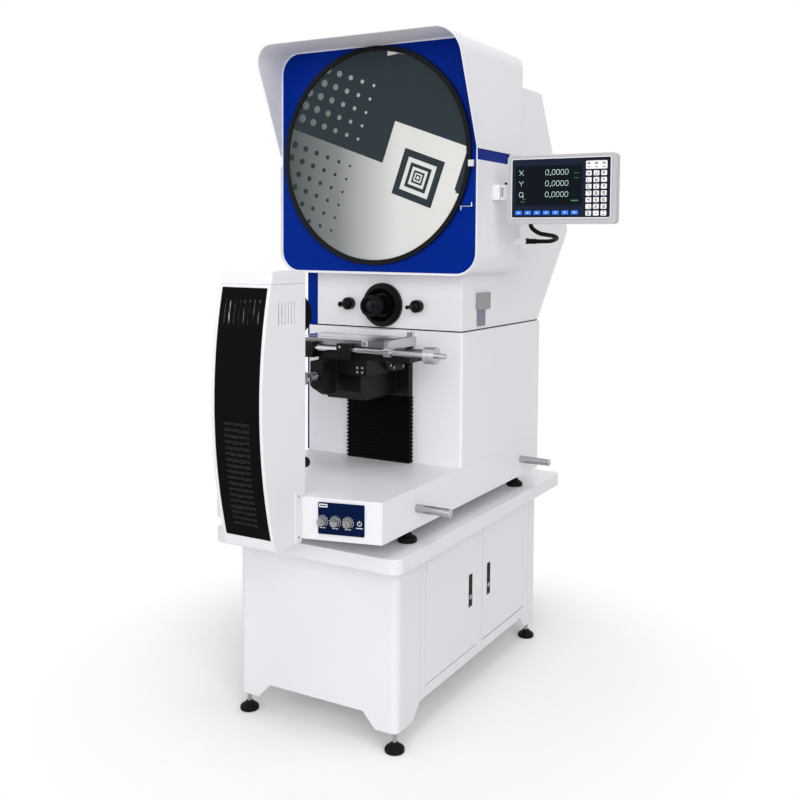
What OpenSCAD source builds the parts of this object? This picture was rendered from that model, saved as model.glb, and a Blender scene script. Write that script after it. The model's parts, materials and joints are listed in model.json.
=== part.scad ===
// Optical comparator: horizontal profile projector standing on a two-door cabinet.
// Millimetres, +Z up, floor at Z = 0, origin midway between the four cabinet feet.
// The screen faces -Y and the operator's right hand is +X.

/* [Cabinet] */
// Width of the cabinet across the machine
cab_w = 505; // [460:1:560]
// Depth of the cabinet from front to rear
cab_d = 916; // [860:1:960]
// Distance of the cabinet's middle behind the feet's middle
cab_y = 5; // [0:1:10]
// Height of the cabinet's top edge above the floor
cab_top = 490; // [470:1:520]
// Height of the leg ends above the floor
leg_z = 54; // [46:1:60]
// Height of the skirt's lower edge above the floor
skirt_z = 94; // [88:1:100]
// Sheet thickness of the cabinet
cab_wall = 3; // [2:0.5:4]
// Radius of the cabinet's upright corners
cab_r = 20; // [14:1:26]
// Width of a leg at the skirt on the front and rear
leg_w = 103; // [95:1:115]
// Width of a leg at the skirt on the sides
leg_d = 122; // [112:1:130]
// How far a leg narrows to its end
leg_taper = 38; // [25:1:45]
// Distance of a foot's middle inside the cabinet's side
foot_in_x = 17.5; // [14:0.5:22]
// Distance of a foot's middle inside the cabinet's front and rear, on average
foot_in_y = 25.5; // [22:0.5:30]

/* [Doors] */
// Width of each door
door_w = 316; // [300:1:318]
// Middle of the post between the doors
post_y = 33; // [28:1:38]
// Width of the post between the doors
post_w = 34; // [30:1:40]
// Height of the doors' lower edge above the floor
door_z = 124; // [116:1:140]
// Strip of cabinet left above the doors
door_head = 9; // [8:1:16]
// Thickness of a door pan
door_t = 18; // [16:1:22]
// Gap round a door in its opening
door_gap = 2.5; // [2:0.1:4]
// Inset of the hinge axis from the door's face and edge
hinge_in = 4; // [3.5:0.1:4.5]
// Diameter of the hinge pins
hinge_d = 5; // [4:0.5:5]
// Height of a latch paddle
latch_h = 97; // [80:1:110]
// Width of a latch paddle
latch_w = 26; // [20:1:30]
// Height of the paddles' middle above the floor
latch_z = 300; // [270:1:330]
// Distance of a paddle's middle from its door's free edge
latch_in = 42; // [36:1:50]

/* [Table top] */
// Width of the slab
slab_w = 583; // [550:1:620]
// Depth of the slab
slab_d = 1100; // [1060:1:1140]
// Distance of the slab's middle behind the feet's middle
slab_y = 33; // [28:1:38]
// Thickness of the slab
slab_t = 39; // [30:1:45]
// Radius of the slab's upright corners
slab_r = 30; // [20:1:45]

/* [Machine base] */
// Width of the base housing
base_w = 516; // [500:1:518]
// Height of the base housing
base_h = 106; // [98:1:112]
// Height of the base above the slab
base_lift = 40; // [36:1:46]
// Front of the base at its sides
base_front_side = -540; // [-545:1:-530]
// Front of the base behind the lamp tower
base_front_mid = -589; // [-595:1:-580]
// Rear of the base and column
body_rear = 454; // [440:1:460]
// Wall of the base housing
base_wall = 5; // [4:0.5:6]
// Middle of the front pair of base feet
base_foot_front = -362; // [-380:1:-350]
// Middle of the rear pair of base feet
base_foot_rear = 335; // [320:1:350]
// Distance of a base foot's middle inside the base's side
base_foot_in = 30; // [26:1:36]
// Diameter of the lift bars
bar_d = 22; // [18:1:24]
// Free length of a lift bar
bar_free = 98; // [80:1:110]
// Depth of a lift bar's spigot in the base
bar_in = 40; // [30:1:44]
// Front lift bars' place
bar_front = -366; // [-375:1:-355]
// Rear lift bars' place
bar_rear = 312; // [300:1:325]

/* [Control panel] */
// Width of the panel plate
panel_w = 120; // [112:1:126]
// Height of the panel plate
panel_h = 79; // [70:1:86]
// Thickness of the panel plate
panel_t = 3; // [2:0.5:4]
// Distance of the first knob left of the panel's middle
knob_in = 48.4; // [46:0.1:50]
// Distance between the knobs
knob_pitch = 33.3; // [31:0.1:35]
// Diameter of a panel knob
knob_d = 20; // [16:0.5:24]
// Length of a panel knob
knob_len = 14; // [11:1:18]

/* [Column] */
// Overhang of the column cover beside the base
col_out = 2; // [0:0.5:4]
// Front of the column cover
col_front = -116; // [-120:1:-112]
// Height of the column cover above the base
col_h = 381; // [375:1:387]
// Wall of the column and the mirror housing
col_wall = 4; // [3:0.5:5]
// Thickness of the blue flank panel
trim_t = 8; // [6:0.5:10]

/* [Mirror housing] */
// Step of the neck's sides inside the column's
neck_in = 6; // [3:0.5:9]
// Front of the neck
neck_front = -108; // [-112:1:-104]
// Width of the blue strip at the neck's left front corner
strip_w = 22; // [18:1:26]
// Nose of the mirror housing behind the machine
nose_y = 711; // [690:1:730]
// Height of the nose above the head's underside
nose_up = 137; // [115:1:155]
// Rear end of the mirror housing's flat top
roof_y = 452; // [430:1:470]
// Depth of the mirror housing's flat top below the head's
roof_down = 74; // [62:1:92]

/* [Head] */
// Margin of the head beside the screen ring
head_side = 18.5; // [17:0.5:26]
// Margin of the head below the screen ring
head_under = 26; // [22:1:30]
// Margin of the head above the screen ring
head_over = 7; // [5:0.5:14]
// Front edge of the lower cover
head_front = -169; // [-174:1:-166]
// Rear of the head
head_rear = 176; // [165:1:185]
// Reach of the hood ahead of the lower cover at its top
hood_reach = 131; // [110:1:150]
// Corner radius of the head seen from the front
head_r = 65; // [50:1:75]
// Radius of the head's rear edges
head_rr = 60; // [45:1:70]
// Wall of the head covers
head_wall = 3; // [2.5:0.5:4]
// Depth of the blue band's lower edge below the screen's axis
band_down = 19; // [12:1:26]
// Height of the blue band
band_h = 30; // [24:1:36]
// Rear end of the blue band at its lower edge
band_end = 31; // [20:1:45]
// Inset of the blue band behind the covers
band_in = 5; // [4:0.5:7]

/* [Screen] */
// Outer diameter of the black screen ring
ring_d = 614; // [606:1:616]
// Width of the black screen ring
ring_w = 14; // [12:0.5:18]
// Thickness of the ground glass
glass_t = 6; // [4:0.5:8]
// Thickness of the fascia plate
fascia_t = 4; // [3:0.5:6]
// Depth of the fascia behind the lower cover's front edge
fascia_in = 6; // [5:0.5:8]
// Running clearance of turning fits
run_gap = 0.06; // [0.03:0.01:0.1]
// Clearance between bodies that slide or swing
slide_gap = 0.3; // [0.2:0.05:0.5]

/* [Lens] */
// Diameter of the lens mount flange
flange_d = 127; // [110:1:130]
// Gap between the column's seam and the flange
flange_up = 5.5; // [3:0.5:10]
// Gap between the flange and the head
flange_down = 26.5; // [20:0.5:32]
// Thickness of the lens mount flange
flange_t = 24; // [18:1:28]
// Diameter of the projection lens barrel
lens_d = 56; // [48:1:62]
// Reach of the lens ahead of the neck
lens_reach = 84; // [70:1:90]
// Distance of the spot lights from the optical axis
spot_x = 115; // [105:1:125]
// Diameter of a spot light's ball
spot_ball = 28; // [24:1:30]

/* [Stage] */
// Half width of the bellows
bellows_x = 107; // [100:1:112]
// Depth of the bellows
bellows_d = 24; // [20:1:26]
// Pitch of the bellows' pleats
pleat = 10.6; // [9:0.1:13]
// Depth of the bellows' pleats
pleat_d = 5; // [3:0.5:7]
// Width of the knee
knee_w = 124; // [112:1:130]
// Front of the knee
knee_front = -328; // [-335:1:-320]
// Height of the knee's lower face above the base
knee_up = 201; // [197:1:205]
// Height of the knee
knee_h = 74; // [68:1:79]
// Height of the cross slide above the knee
slide_h = 58; // [54:1:60]
// Thickness of the cross slide's wide top plate
plate_t = 15; // [12:1:18]
// Width of the cross slide's top plate
plate_w = 450; // [430:1:460]
// Width of the table plate
table_w = 300; // [280:1:310]
// Depth of the table plate
table_d = 174; // [160:1:178]
// Front of the table plate
table_front = -352; // [-356:1:-348]
// Height of the table's top above the cross slide
table_up = 37; // [34:1:40]
// Thickness of the table plate
table_t = 18; // [15:1:20]
// Diameter of the traverse rod
rod_d = 14; // [11:0.5:15]
// Place of the traverse knob along the rod
rod_right = 279; // [270:1:285]
// Diameter of the traverse knob
rod_knob_d = 44; // [38:1:48]

/* [Lamp tower] */
// Left side of the tower
tower_left = -98.5; // [-104:0.5:-94]
// Right side of the tower
tower_right = 55; // [52:0.5:58]
// Depth of the tower's lower end below the base
tower_down = 7; // [3:1:13]
// Height of the tower's top above the optical axis
tower_over = 109; // [95:1:120]
// Height of the tower's cap
cap_h = 30; // [24:1:36]
// Rear of the tower above the base
tower_rear = -573; // [-578:1:-568]
// Radius of the curved front
tower_arc = 1224; // [1150:1:1300]
// Foremost point of the curved front
tower_belly = -747; // [-755:1:-740]
// Depth of the foremost point below the optical axis
belly_down = 210; // [195:1:225]
// Wall of the tower
tower_wall = 3; // [2.5:0.5:4]
// White rim beside the black front
rim_w = 9; // [7:0.5:12]
// Number of louvres in the black front
louvres = 18; // [12:1:20]
// Diameter of the condenser barrel
cond_d = 108; // [96:1:108]
// Reach of the condenser behind the tower
cond_reach = 28; // [22:1:34]

/* [Readout] */
// Width of the readout case
read_w = 304; // [280:1:320]
// Height of the readout case
read_h = 183; // [170:1:195]
// Thickness of the readout case
read_t = 28; // [24:1:34]
// Gap between the head's side and the readout case
read_out = 53.5; // [50:0.5:58]
// Depth of the readout's lower edge below the screen's axis
read_down = 190; // [182:1:198]
// Rear face of the readout case
read_y = -64; // [-66:1:-62]
// Distance of the pan axis from the head's side
pan_x = 34; // [32:1:36]
// Pan axis behind the readout case
pan_in = 14; // [13:0.5:16]
// Diameter of the pan pin
pan_d = 9; // [7:0.5:10]
// Height of the bracket block
bracket_h = 42; // [40:1:48]
// Height of the bracket's middle above the readout's lower edge
bracket_up = 87; // [80:1:92]
// Diameter of the readout cable
cable_d = 12; // [9:0.5:13]

/* [Hidden] */
$fn = 48;
white = "#e4e4e8";
blue = "#0a3296";
black = "#151517";
steel = "#c2c4c8";
e = 0.01;

cab_x = cab_w/2;
cab_front = cab_y - cab_d/2;
cab_rear = cab_y + cab_d/2;
foot_dx = cab_w - 2*foot_in_x;
foot_dy = cab_d - 2*foot_in_y;
slab_z = cab_top + slab_t;
base_z = slab_z + base_lift;
base_top = base_z + base_h;
base_x = base_w/2;
seam_z = base_top + col_h;
axis_z = seam_z + flange_up + flange_d/2;
head_z = axis_z + flange_d/2 + flange_down;
screen_z = head_z + head_under + ring_d/2;
head_top = screen_z + ring_d/2 + head_over;
head_w = ring_d + 2*head_side;
screen_d = ring_d - 2*ring_w;
nose_z = head_z + nose_up;
roof_z = head_top - roof_down;
band_z = screen_z - band_down;
knee_z = base_top + knee_up;
knee_top = knee_z + knee_h;
tower_z = base_z - tower_down;
tower_top = axis_z + tower_over;
belly_z = axis_z - belly_down;
read_z = screen_z - read_down;
base_foot_dx = base_w - 2*base_foot_in;
slant_len = sqrt(pow(base_x - tower_right, 2) + pow(base_front_side - base_front_mid, 2));
slant_a = atan2(base_front_side - base_front_mid, base_x - tower_right);
panel_at = slant_len/2;
knob_first = panel_at - knob_in;
col_x = base_x + col_out;
neck_x = col_x - neck_in;
head_x = head_w/2;
door_top = cab_top - door_head;
door_edge = [post_y - post_w/2, post_y + post_w/2];
door_open = [door_edge[0] - door_w, door_edge[1] + door_w];
hinge_x = cab_x - hinge_in;
hinge_y = [door_open[0] + door_gap + hinge_in, door_open[1] - door_gap - hinge_in];
latch_depth = 12;
latch_pin = 4;
pad_h = 24;
pad_d = 52;
stud_d = 12;
bar_spigot = 16;
screw_d = 16;
screw_y = col_front + 13;
guide_front = col_front + 24;
slot_x = 90;
slot_z = [base_top + 15, seam_z - 20];
apron_z = [knee_z - 8, knee_top + 10];
apron_front = col_front - bellows_d - 1;
truck_x = slot_x - 6;
slide_z = knee_top + slide_gap;
slide_top = slide_z + slide_h;
slide_front = knee_front - 92;
slide_body = knee_front - 28;
plate_z = slide_top - plate_t;
dove_foot = 34;
dove_tip = 40;
knee_dove = 12;
slide_dove = 9;
table_z = slide_top + table_up;
table_rear = table_front + table_d;
table_mid = table_front + table_d/2;
rod_y = table_front - 12;
rod_z = slide_top + 11;
fascia_y = head_front + fascia_in;
ring_front = fascia_y - 9;
spigot_r = screen_d/2 + 6;
cover_top = band_z + band_h;
far_front = head_front - hood_reach - 100;
tower_mid = (tower_left + tower_right)/2;
arc_y = tower_belly + tower_arc;
lens_front = neck_front - lens_reach;
spot_y = neck_front - 15;
spot_pin = 4;
pan = [head_x + pan_x, read_y + pan_in];
read_x = head_x + read_out;
bracket_z = read_z + bracket_up;
face = [read_x + 14, read_z + 17, read_x + read_w - 16, read_z + read_h - 11];
plug = [head_x + 66.5, 103, read_z - 46];
lug_h = 24;

// Rectangle with round corners, centred
module round_rect(x, y, r) {
  square([x - 2*r, y], center = true);
  square([x, y - 2*r], center = true);
  for (i = [-1, 1], j = [-1, 1])
    translate([i*(x/2 - r), j*(y/2 - r)])
      circle(r);
}

// Box between two corners
module span(a, b) {
  translate(a)
    cube(b - a);
}

// Upright box with round corners between two corners
module round_span(a, b, r) {
  translate([(a[0] + b[0])/2, (a[1] + b[1])/2, a[2]])
    linear_extrude(b[2] - a[2])
      round_rect(b[0] - a[0], b[1] - a[1], r);
}

// Outline in Y and Z, drawn as a plate from x0 to x1
module side_plate_of(x0, x1) {
  translate([x0, 0, 0])
    rotate([90, 0, 90])
      linear_extrude(x1 - x0)
        children();
}

// Outline in X and Z, drawn as a plate from y0 to y1
module front_plate_of(y0, y1) {
  translate([0, y1, 0])
    rotate([90, 0, 0])
      linear_extrude(y1 - y0)
        children();
}

// Shaft along Y
module y_rod(x, z, y0, y1, d) {
  translate([x, y1, z])
    rotate([90, 0, 0])
      cylinder(d = d, h = y1 - y0);
}

// Shaft along X
module x_rod(y, z, x0, x1, d) {
  translate([x0, y, z])
    rotate([0, 90, 0])
      cylinder(d = d, h = x1 - x0);
}

// Frame of the slanted right front of the base: X along it, -Y outward
module on_slant() {
  translate([tower_right, base_front_mid, 0])
    rotate([0, 0, slant_a])
      children();
}

module at_cabinet_feet() {
  for (x = [-1, 1], y = [-1, 1])
    translate([x*foot_dx/2, y*foot_dy/2, 0])
      children();
}

module at_base_feet() {
  for (x = [-1, 1], y = [base_foot_front, base_foot_rear])
    translate([x*base_foot_dx/2, y, slab_z])
      children();
}

// Cut-out between two legs, as an outline of half width w
module leg_gap(w) {
  end = w + leg_taper;
  polygon([[-end, 0], [end, 0], [end, leg_z], [w, skirt_z], [-w, skirt_z], [-end, leg_z]]);
}

module cabinet_shell() {
  foot_t = 8;
  color(white)
    difference() {
      union() {
        difference() {
          round_span([-cab_x, cab_front, leg_z], [cab_x, cab_rear, cab_top], cab_r);
          round_span([-cab_x + cab_wall, cab_front + cab_wall, leg_z - e],
                     [cab_x - cab_wall, cab_rear - cab_wall, cab_top + e], cab_r - cab_wall);
        }
        for (x = [-1, 1], y = [0, 1])
          corner_plate(x, y, foot_t);
        for (y = hinge_y, z = [door_z - 9, door_top])
          translate([hinge_x - 9, y - 8, z])
            cube([9 + hinge_in - cab_wall + e, 16, 9]);
      }
      front_plate_of(cab_front - 1, cab_rear + 1)
        leg_gap(cab_x - leg_w);
      side_plate_of(-cab_x - 1, cab_x + 1)
        translate([cab_y, 0])
          leg_gap(cab_d/2 - leg_d);
      for (i = [0, 1])
        span([cab_x - cab_wall - 20, i == 0 ? door_open[0] : door_edge[1], door_z],
             [cab_x + 1, i == 0 ? door_edge[0] : door_open[1], door_top]);
      for (y = hinge_y)
        translate([hinge_x, y, door_z - 20])
          cylinder(d = hinge_d + 2*run_gap, h = cab_top);
      at_cabinet_feet()
        translate([0, 0, leg_z - 1])
          cylinder(d = stud_d + 2*run_gap, h = foot_t + 2);
    }
}

// Plate in the end of a leg that takes a levelling stud
module corner_plate(x, y, t) {
  reach = leg_w - leg_taper - 24;
  y0 = y == 0 ? cab_front + cab_wall - e : cab_rear - cab_wall + e - reach;
  x0 = x < 0 ? -cab_x + cab_wall - e : cab_x - cab_wall + e - reach;
  intersection() {
    translate([x0, y0, leg_z])
      cube([reach, reach, t]);
    round_span([-cab_x + e, cab_front + e, 0], [cab_x - e, cab_rear - e, cab_top], cab_r);
  }
}

module cabinet_floor() {
  floor_t = 3;
  color(white)
    difference() {
      round_span([-cab_x + cab_wall, cab_front + cab_wall, skirt_z],
                 [cab_x - cab_wall, cab_rear - cab_wall, skirt_z + floor_t], cab_r - cab_wall);
      at_cabinet_feet()
        translate([0, 0, skirt_z - 1])
          cylinder(d = stud_d + 6, h = floor_t + 2);
    }
}

// Round foot pad: a flat disc, a shoulder and a dome for the stud's ball
module foot_pad() {
  rotate_extrude()
    polygon([[0, 0], [pad_d/2 - 2, 0], [pad_d/2, 2], [pad_d/2, 9], [pad_d/2 - 3, 13],
             [stud_d/2 + 8, 17], [stud_d/2 + 4, pad_h], [0, pad_h]]);
}

module levelling_pads() {
  color(black) {
    at_cabinet_feet()
      foot_pad();
    at_base_feet()
      foot_pad();
  }
}

module levelling_studs() {
  color(steel) {
    at_cabinet_feet()
      translate([0, 0, pad_h])
        cylinder(d = stud_d, h = leg_z + 30 - pad_h);
    at_base_feet()
      translate([0, 0, pad_h])
        cylinder(d = stud_d, h = base_lift + 24 - pad_h);
  }
}

// Hexagon lock nut
module lock_nut(h) {
  difference() {
    cylinder(d = stud_d + 8, h = h, $fn = 6);
    translate([0, 0, -1])
      cylinder(d = stud_d + 2*run_gap, h = h + 2);
  }
}

module levelling_nuts() {
  nut_h = 9;
  color(steel) {
    at_cabinet_feet()
      translate([0, 0, leg_z - nut_h])
        lock_nut(nut_h);
    at_base_feet()
      translate([0, 0, base_lift - nut_h])
        lock_nut(nut_h);
  }
}

module door_hinge_pins() {
  color(steel)
    for (y = hinge_y) {
      translate([hinge_x, y, door_z - 9])
        cylinder(d = hinge_d, h = 9 + 24);
      translate([hinge_x, y, door_top - 24])
        cylinder(d = hinge_d, h = 24 + door_head);
    }
}

module table_top() {
  color(white)
    round_span([-slab_w/2, slab_y - slab_d/2, cab_top], [slab_w/2, slab_y + slab_d/2, slab_z], slab_r);
}

// Plan of the base, drawn in by an amount
module base_plan(inset) {
  x = base_x - inset;
  polygon([[x, body_rear - inset], [-x, body_rear - inset], [-x, base_front_side + inset],
           [tower_left, base_front_mid + inset], [tower_right, base_front_mid + inset],
           [x, base_front_side + inset]]);
}

module base_housing() {
  boss = 44;
  lead_hole = 60;
  color(white)
    difference() {
      union() {
        difference() {
          translate([0, 0, base_z])
            linear_extrude(base_h)
              base_plan(0);
          translate([0, 0, base_z + base_wall])
            linear_extrude(base_h - 2*base_wall)
              base_plan(base_wall);
        }
        for (s = [-1, 1], y = [bar_front, bar_rear])
          translate([s > 0 ? base_x - bar_in - 4 : -base_x + base_wall - e, y - 16, base_top - 70])
            cube([bar_in + 4 - base_wall + e, 32, 70 - base_wall + e]);
        for (s = [-1, 1], y = [base_foot_front, base_foot_rear])
          translate([s > 0 ? base_x - base_wall - boss + e : -base_x + base_wall - e, y - boss/2, base_z])
            cube([boss, boss, 26]);
      }
      for (s = [-1, 1], y = [bar_front, bar_rear])
        x_rod(y, bar_axis(), s > 0 ? base_x - bar_in : -base_x - 1, s > 0 ? base_x + 1 : -base_x + bar_in,
              bar_spigot + 2*run_gap);
      at_base_feet()
        translate([0, 0, base_lift - 1])
          cylinder(d = stud_d + 2*run_gap, h = 27 + e);
      translate([0, body_rear - 2*lead_hole, base_z - 1])
        cylinder(d = lead_hole, h = base_wall + 2);
      on_slant()
        for (i = [0:2])
          y_rod(knob_first + i*knob_pitch, knob_axis(), -1, base_wall + 30, 8);
    }
}

function bar_axis() = base_top - 53;
function knob_axis() = base_top - 56;

module lift_bars() {
  color(steel)
    for (s = [-1, 1], y = [bar_front, bar_rear])
      mirror([s < 0 ? 1 : 0, 0, 0])
        union() {
          x_rod(y, bar_axis(), base_x, base_x + bar_free, bar_d);
          x_rod(y, bar_axis(), base_x - bar_in + 1, base_x + e, bar_spigot);
        }
}

module control_panel() {
  color("#0b1f55")
    on_slant()
      difference() {
        front_plate_of(-panel_t, 0)
          translate([panel_at, knob_axis() + 7])
            round_rect(panel_w, panel_h, 3);
        for (i = [0:2])
          y_rod(knob_first + i*knob_pitch, knob_axis(), -panel_t - 1, 1, 6 + 2*run_gap);
      }
}

// Knob with a fluted grip, a pointer nib and a spindle through the panel
module panel_knob(i) {
  flutes = 16;
  front = -panel_t - slide_gap - knob_len;
  color(steel)
    on_slant()
      translate([knob_first + i*knob_pitch, 0, knob_axis()])
        difference() {
          union() {
            y_rod(0, 0, front, -panel_t - slide_gap, knob_d);
            y_rod(0, 0, -panel_t - slide_gap - 3, -panel_t - slide_gap, knob_d + 3);
            y_rod(0, 0, -panel_t - slide_gap - e, 12, 6);
            translate([-1, front - 0.8, 2])
              cube([2, 2, knob_d/2 - 3]);
          }
          for (k = [0:flutes - 1])
            rotate([0, k*360/flutes, 0])
              y_rod(knob_d/2 + 0.8, 0, front - 1, -panel_t - slide_gap - 3.5, 3);
        }
}

module panel_knob_1() { panel_knob(0); }
module panel_knob_2() { panel_knob(1); }
module panel_knob_3() { panel_knob(2); }

module column_cover() {
  color(white)
    difference() {
      round_span([-col_x, col_front, base_top], [col_x, body_rear, seam_z], 8);
      round_span([-col_x + col_wall, col_front + col_wall, base_top - e],
                 [col_x - col_wall, body_rear - col_wall, seam_z + e], 4);
      span([-slot_x, col_front - 1, slot_z[0]], [slot_x, col_front + col_wall + 1, slot_z[1]]);
    }
}

module flank_trim() {
  outer = -col_x - trim_t;
  color(blue) {
    span([outer, col_front + 8, base_top], [-col_x, body_rear - 10, seam_z]);
    span([outer, neck_front, seam_z], [-neck_x, body_rear - 24, head_z]);
    span([-neck_x - e, neck_front, seam_z], [-neck_x + strip_w, neck_front + 40, head_z]);
  }
}

module lift_guide() {
  plate_t = 12;
  rail_h = 14;
  color(steel)
    difference() {
      union() {
        span([-slot_x, guide_front + rail_h, base_top], [slot_x, guide_front + rail_h + plate_t, seam_z - 6]);
        for (s = [-1, 1])
          span([s*62 - 10, guide_front, base_top], [s*62 + 10, guide_front + rail_h + e, seam_z - 6]);
        for (z = [base_top, seam_z - 20])
          span([-24, screw_y - 8, z], [24, guide_front + rail_h + e, z + 14]);
      }
      translate([0, screw_y, base_top - 1])
        cylinder(d = screw_d - 4 + 2*run_gap, h = seam_z - base_top);
    }
}

// Zigzag outline of a pleated wall of half width w between z0 and z1
module pleats(w, z0, z1) {
  n = round((z1 - z0)/pleat);
  step = (z1 - z0)/n;
  right = [for (i = [0:2*n]) [w - (i % 2 == 0 ? pleat_d : 0), z0 + i*step/2]];
  left = [for (i = [2*n:-1:0]) [-w + (i % 2 == 0 ? pleat_d : 0), z0 + i*step/2]];
  polygon(concat(right, left));
}

module bellows(z0, z1) {
  color(black)
    intersection() {
      front_plate_of(col_front - bellows_d, col_front)
        pleats(bellows_x, z0, z1);
      side_plate_of(-bellows_x, bellows_x)
        translate([col_front, 0])
          pleats(bellows_d, z0, z1);
    }
}

module bellows_lower() { bellows(base_top, apron_z[0] - slide_gap); }
module bellows_upper() { bellows(apron_z[1] + slide_gap, seam_z - 6); }

// Side outline of the neck and the mirror housing, drawn in by an amount
module mirror_outline(inset) {
  offset(delta = -inset)
    polygon([[neck_front, seam_z], [body_rear - 10, seam_z], [nose_y, nose_z], [roof_y, roof_z],
             [head_rear, roof_z], [head_rear, head_z], [neck_front, head_z]]);
}

module mirror_housing() {
  color(white)
    difference() {
      side_plate_of(-neck_x, neck_x)
        mirror_outline(0);
      side_plate_of(-neck_x + col_wall, neck_x - col_wall)
        mirror_outline(col_wall);
      span([-neck_x + 30, head_rear - 1, head_z + 80], [neck_x - 30, head_rear + col_wall + 1, roof_z - 30]);
      span([-neck_x - 1, neck_front - 1, seam_z - 1], [-neck_x + strip_w, neck_front + 40, head_z + 1]);
      y_rod(0, axis_z, neck_front - 1, neck_front + col_wall + 1, lens_d + 6);
    }
}

module side_plate() {
  color("#9a9a9c") {
    span([neck_x, -20, axis_z - 10], [neck_x + 9, 62, axis_z + 38]);
    span([neck_x, -14, axis_z - 58], [neck_x + 3, 40, axis_z - 10]);
  }
}

// First mirror lies along the lower slope, the second sends the beam to the screen
module mirrors() {
  plate = 8;
  low = [220, 180];
  low_in = 30;
  low_a = atan2(nose_z - seam_z, nose_y - body_rear + 10);
  color("#aab6c0") {
    translate([0, body_rear - 10, seam_z])
      rotate([low_a, 0, 0])
        translate([-low[0]/2, low_in, col_wall])
          cube([low[0], low[1], plate]);
    span_mirror(plate);
  }
}

// Second mirror, standing between the side walls
module span_mirror(plate) {
  x = neck_x - col_wall;
  half = 180;
  tilt = 48;
  translate([0, body_rear + 5, screen_z])
    rotate([tilt, 0, 0])
      translate([-x, -plate/2, -half])
        cube([2*x, plate, 2*half]);
}

// Flange with a stepped rim and a dish round the lens
module lens_mount() {
  front = neck_front - flange_t;
  dish = 14;
  color(black)
    difference() {
      union() {
        y_rod(0, axis_z, neck_front - flange_t/2, neck_front, flange_d);
        y_rod(0, axis_z, front + 4, neck_front, flange_d - 8);
        y_rod(0, axis_z, front, neck_front, flange_d - 18);
      }
      y_rod(0, axis_z, front - 1, neck_front + 1, lens_d + 2*run_gap);
      translate([0, front + dish, axis_z])
        rotate([90, 0, 0])
          cylinder(d1 = lens_d + 14, d2 = flange_d - 28, h = dish + e);
    }
}

// Cups that hold the spot lights' balls
module light_sockets() {
  color(black)
    for (s = [-1, 1])
      difference() {
        y_rod(s*spot_x, axis_z, spot_y - 4, neck_front, spot_ball + 8);
        translate([s*spot_x, spot_y, axis_z])
          sphere(d = spot_ball + 2*slide_gap);
        y_rod(s*spot_x, axis_z, spot_y - 5, spot_y - 3, spot_ball + 2);
        translate([s*spot_x, spot_y, axis_z - spot_ball])
          cylinder(d = spot_pin + 2*run_gap, h = 2*spot_ball);
      }
}

// Ball on an upright pin, with a nozzle along -Y
module spot(s, nozzle_d, tip_d, reach) {
  color(black)
    translate([s*spot_x, spot_y, axis_z])
      difference() {
        union() {
          sphere(d = spot_ball);
          translate([0, 0, -spot_ball/2 - 3])
            cylinder(d = spot_pin, h = spot_ball + 6);
          y_rod(0, 0, -reach, 0, nozzle_d);
          y_rod(0, 0, -reach - 6, -reach + 8, tip_d);
        }
        y_rod(0, 0, -reach - 7, -reach + 4, min(nozzle_d, tip_d) - 4);
      }
}

module spot_light_left() { spot(-1, 13, 16, 34); }
module spot_light_right() { spot(1, 9, 11, 46); }

// Outline of the head from the front, drawn in by an amount
module head_front_outline(inset) {
  translate([0, (head_z + head_top)/2])
    round_rect(head_w - 2*inset, head_top - head_z - 2*inset, head_r - inset);
}

// What leaves a round corner at x, y when it is cut off; at turn 0 the corner points to +X and +Y
module corner_cut(x, y, turn, r) {
  translate([x, y])
    rotate(turn)
      translate([-r, -r])
        difference() {
          square(r + 1);
          circle(r);
        }
}

// Outline of the head from the side, with round rear edges and the slanted hood
module head_side_outline(inset) {
  rear = head_rear - inset;
  r = head_rr - inset;
  low = inset > 0 ? far_front : head_front;
  high = inset > 0 ? far_front : head_front - hood_reach;
  difference() {
    polygon([[low, head_z + inset], [low, cover_top], [high, head_top - inset],
             [rear, head_top - inset], [rear, head_z + inset]]);
    corner_cut(rear, head_top - inset, 0, r);
    corner_cut(rear, head_z + inset, 270, r);
  }
}

// Outline of the head from above, with round rear edges
module head_top_outline(inset) {
  rear = head_rear - inset;
  x = head_x - inset;
  r = head_rr - inset;
  difference() {
    translate([-x, far_front])
      square([2*x, rear - far_front]);
    corner_cut(x, rear, 0, r);
    corner_cut(-x, rear, 90, r);
  }
}

// Solid form of the head, drawn in by an amount
module head_form(inset) {
  intersection() {
    front_plate_of(far_front, head_rear + 1)
      head_front_outline(inset);
    side_plate_of(-head_x - 1, head_x + 1)
      head_side_outline(inset);
    translate([0, 0, head_z - 1])
      linear_extrude(head_top - head_z + 2)
        head_top_outline(inset);
  }
}

// Shell of the head where it meets its child, open to the front and to the mirror housing
module head_cover() {
  difference() {
    intersection() {
      head_form(0);
      children();
    }
    head_form(head_wall);
    span([-neck_x + 30, head_rear - 20, head_z + 80], [neck_x - 30, head_rear + 1, roof_z - 30]);
  }
}

module hood_cover() {
  color(white)
    head_cover()
      span([-head_x - 1, far_front, cover_top], [head_x + 1, head_rear + 1, head_top + 1]);
}

// Lower cover, which rises behind the band to the hood
module lower_cover() {
  lean = 17;
  color(white)
    head_cover()
      side_plate_of(-head_x - 1, head_x + 1)
        polygon([[far_front, head_z - 1], [far_front, band_z], [band_end, band_z],
                 [band_end + lean, cover_top], [head_rear + 1, cover_top], [head_rear + 1, head_z - 1]]);
}

// Carcass behind the covers: its band shows between them
module head_frame() {
  depth = 8;
  lap = 26;
  rear = head_rear - head_rr;
  color(blue)
    difference() {
      span([-head_x + head_wall, fascia_y + fascia_t, band_z - lap],
           [head_x - head_wall, rear, band_z + band_h + lap]);
      span([-head_x + head_wall + depth, fascia_y, band_z - lap - 1],
           [head_x - head_wall - depth, rear + 1, band_z + band_h + lap + 1]);
      for (s = [-1, 1])
        translate([s*head_x, 0, band_z + band_h/2])
          cube([2*band_in, 2*(head_rear - far_front), band_h], center = true);
    }
}

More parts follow.
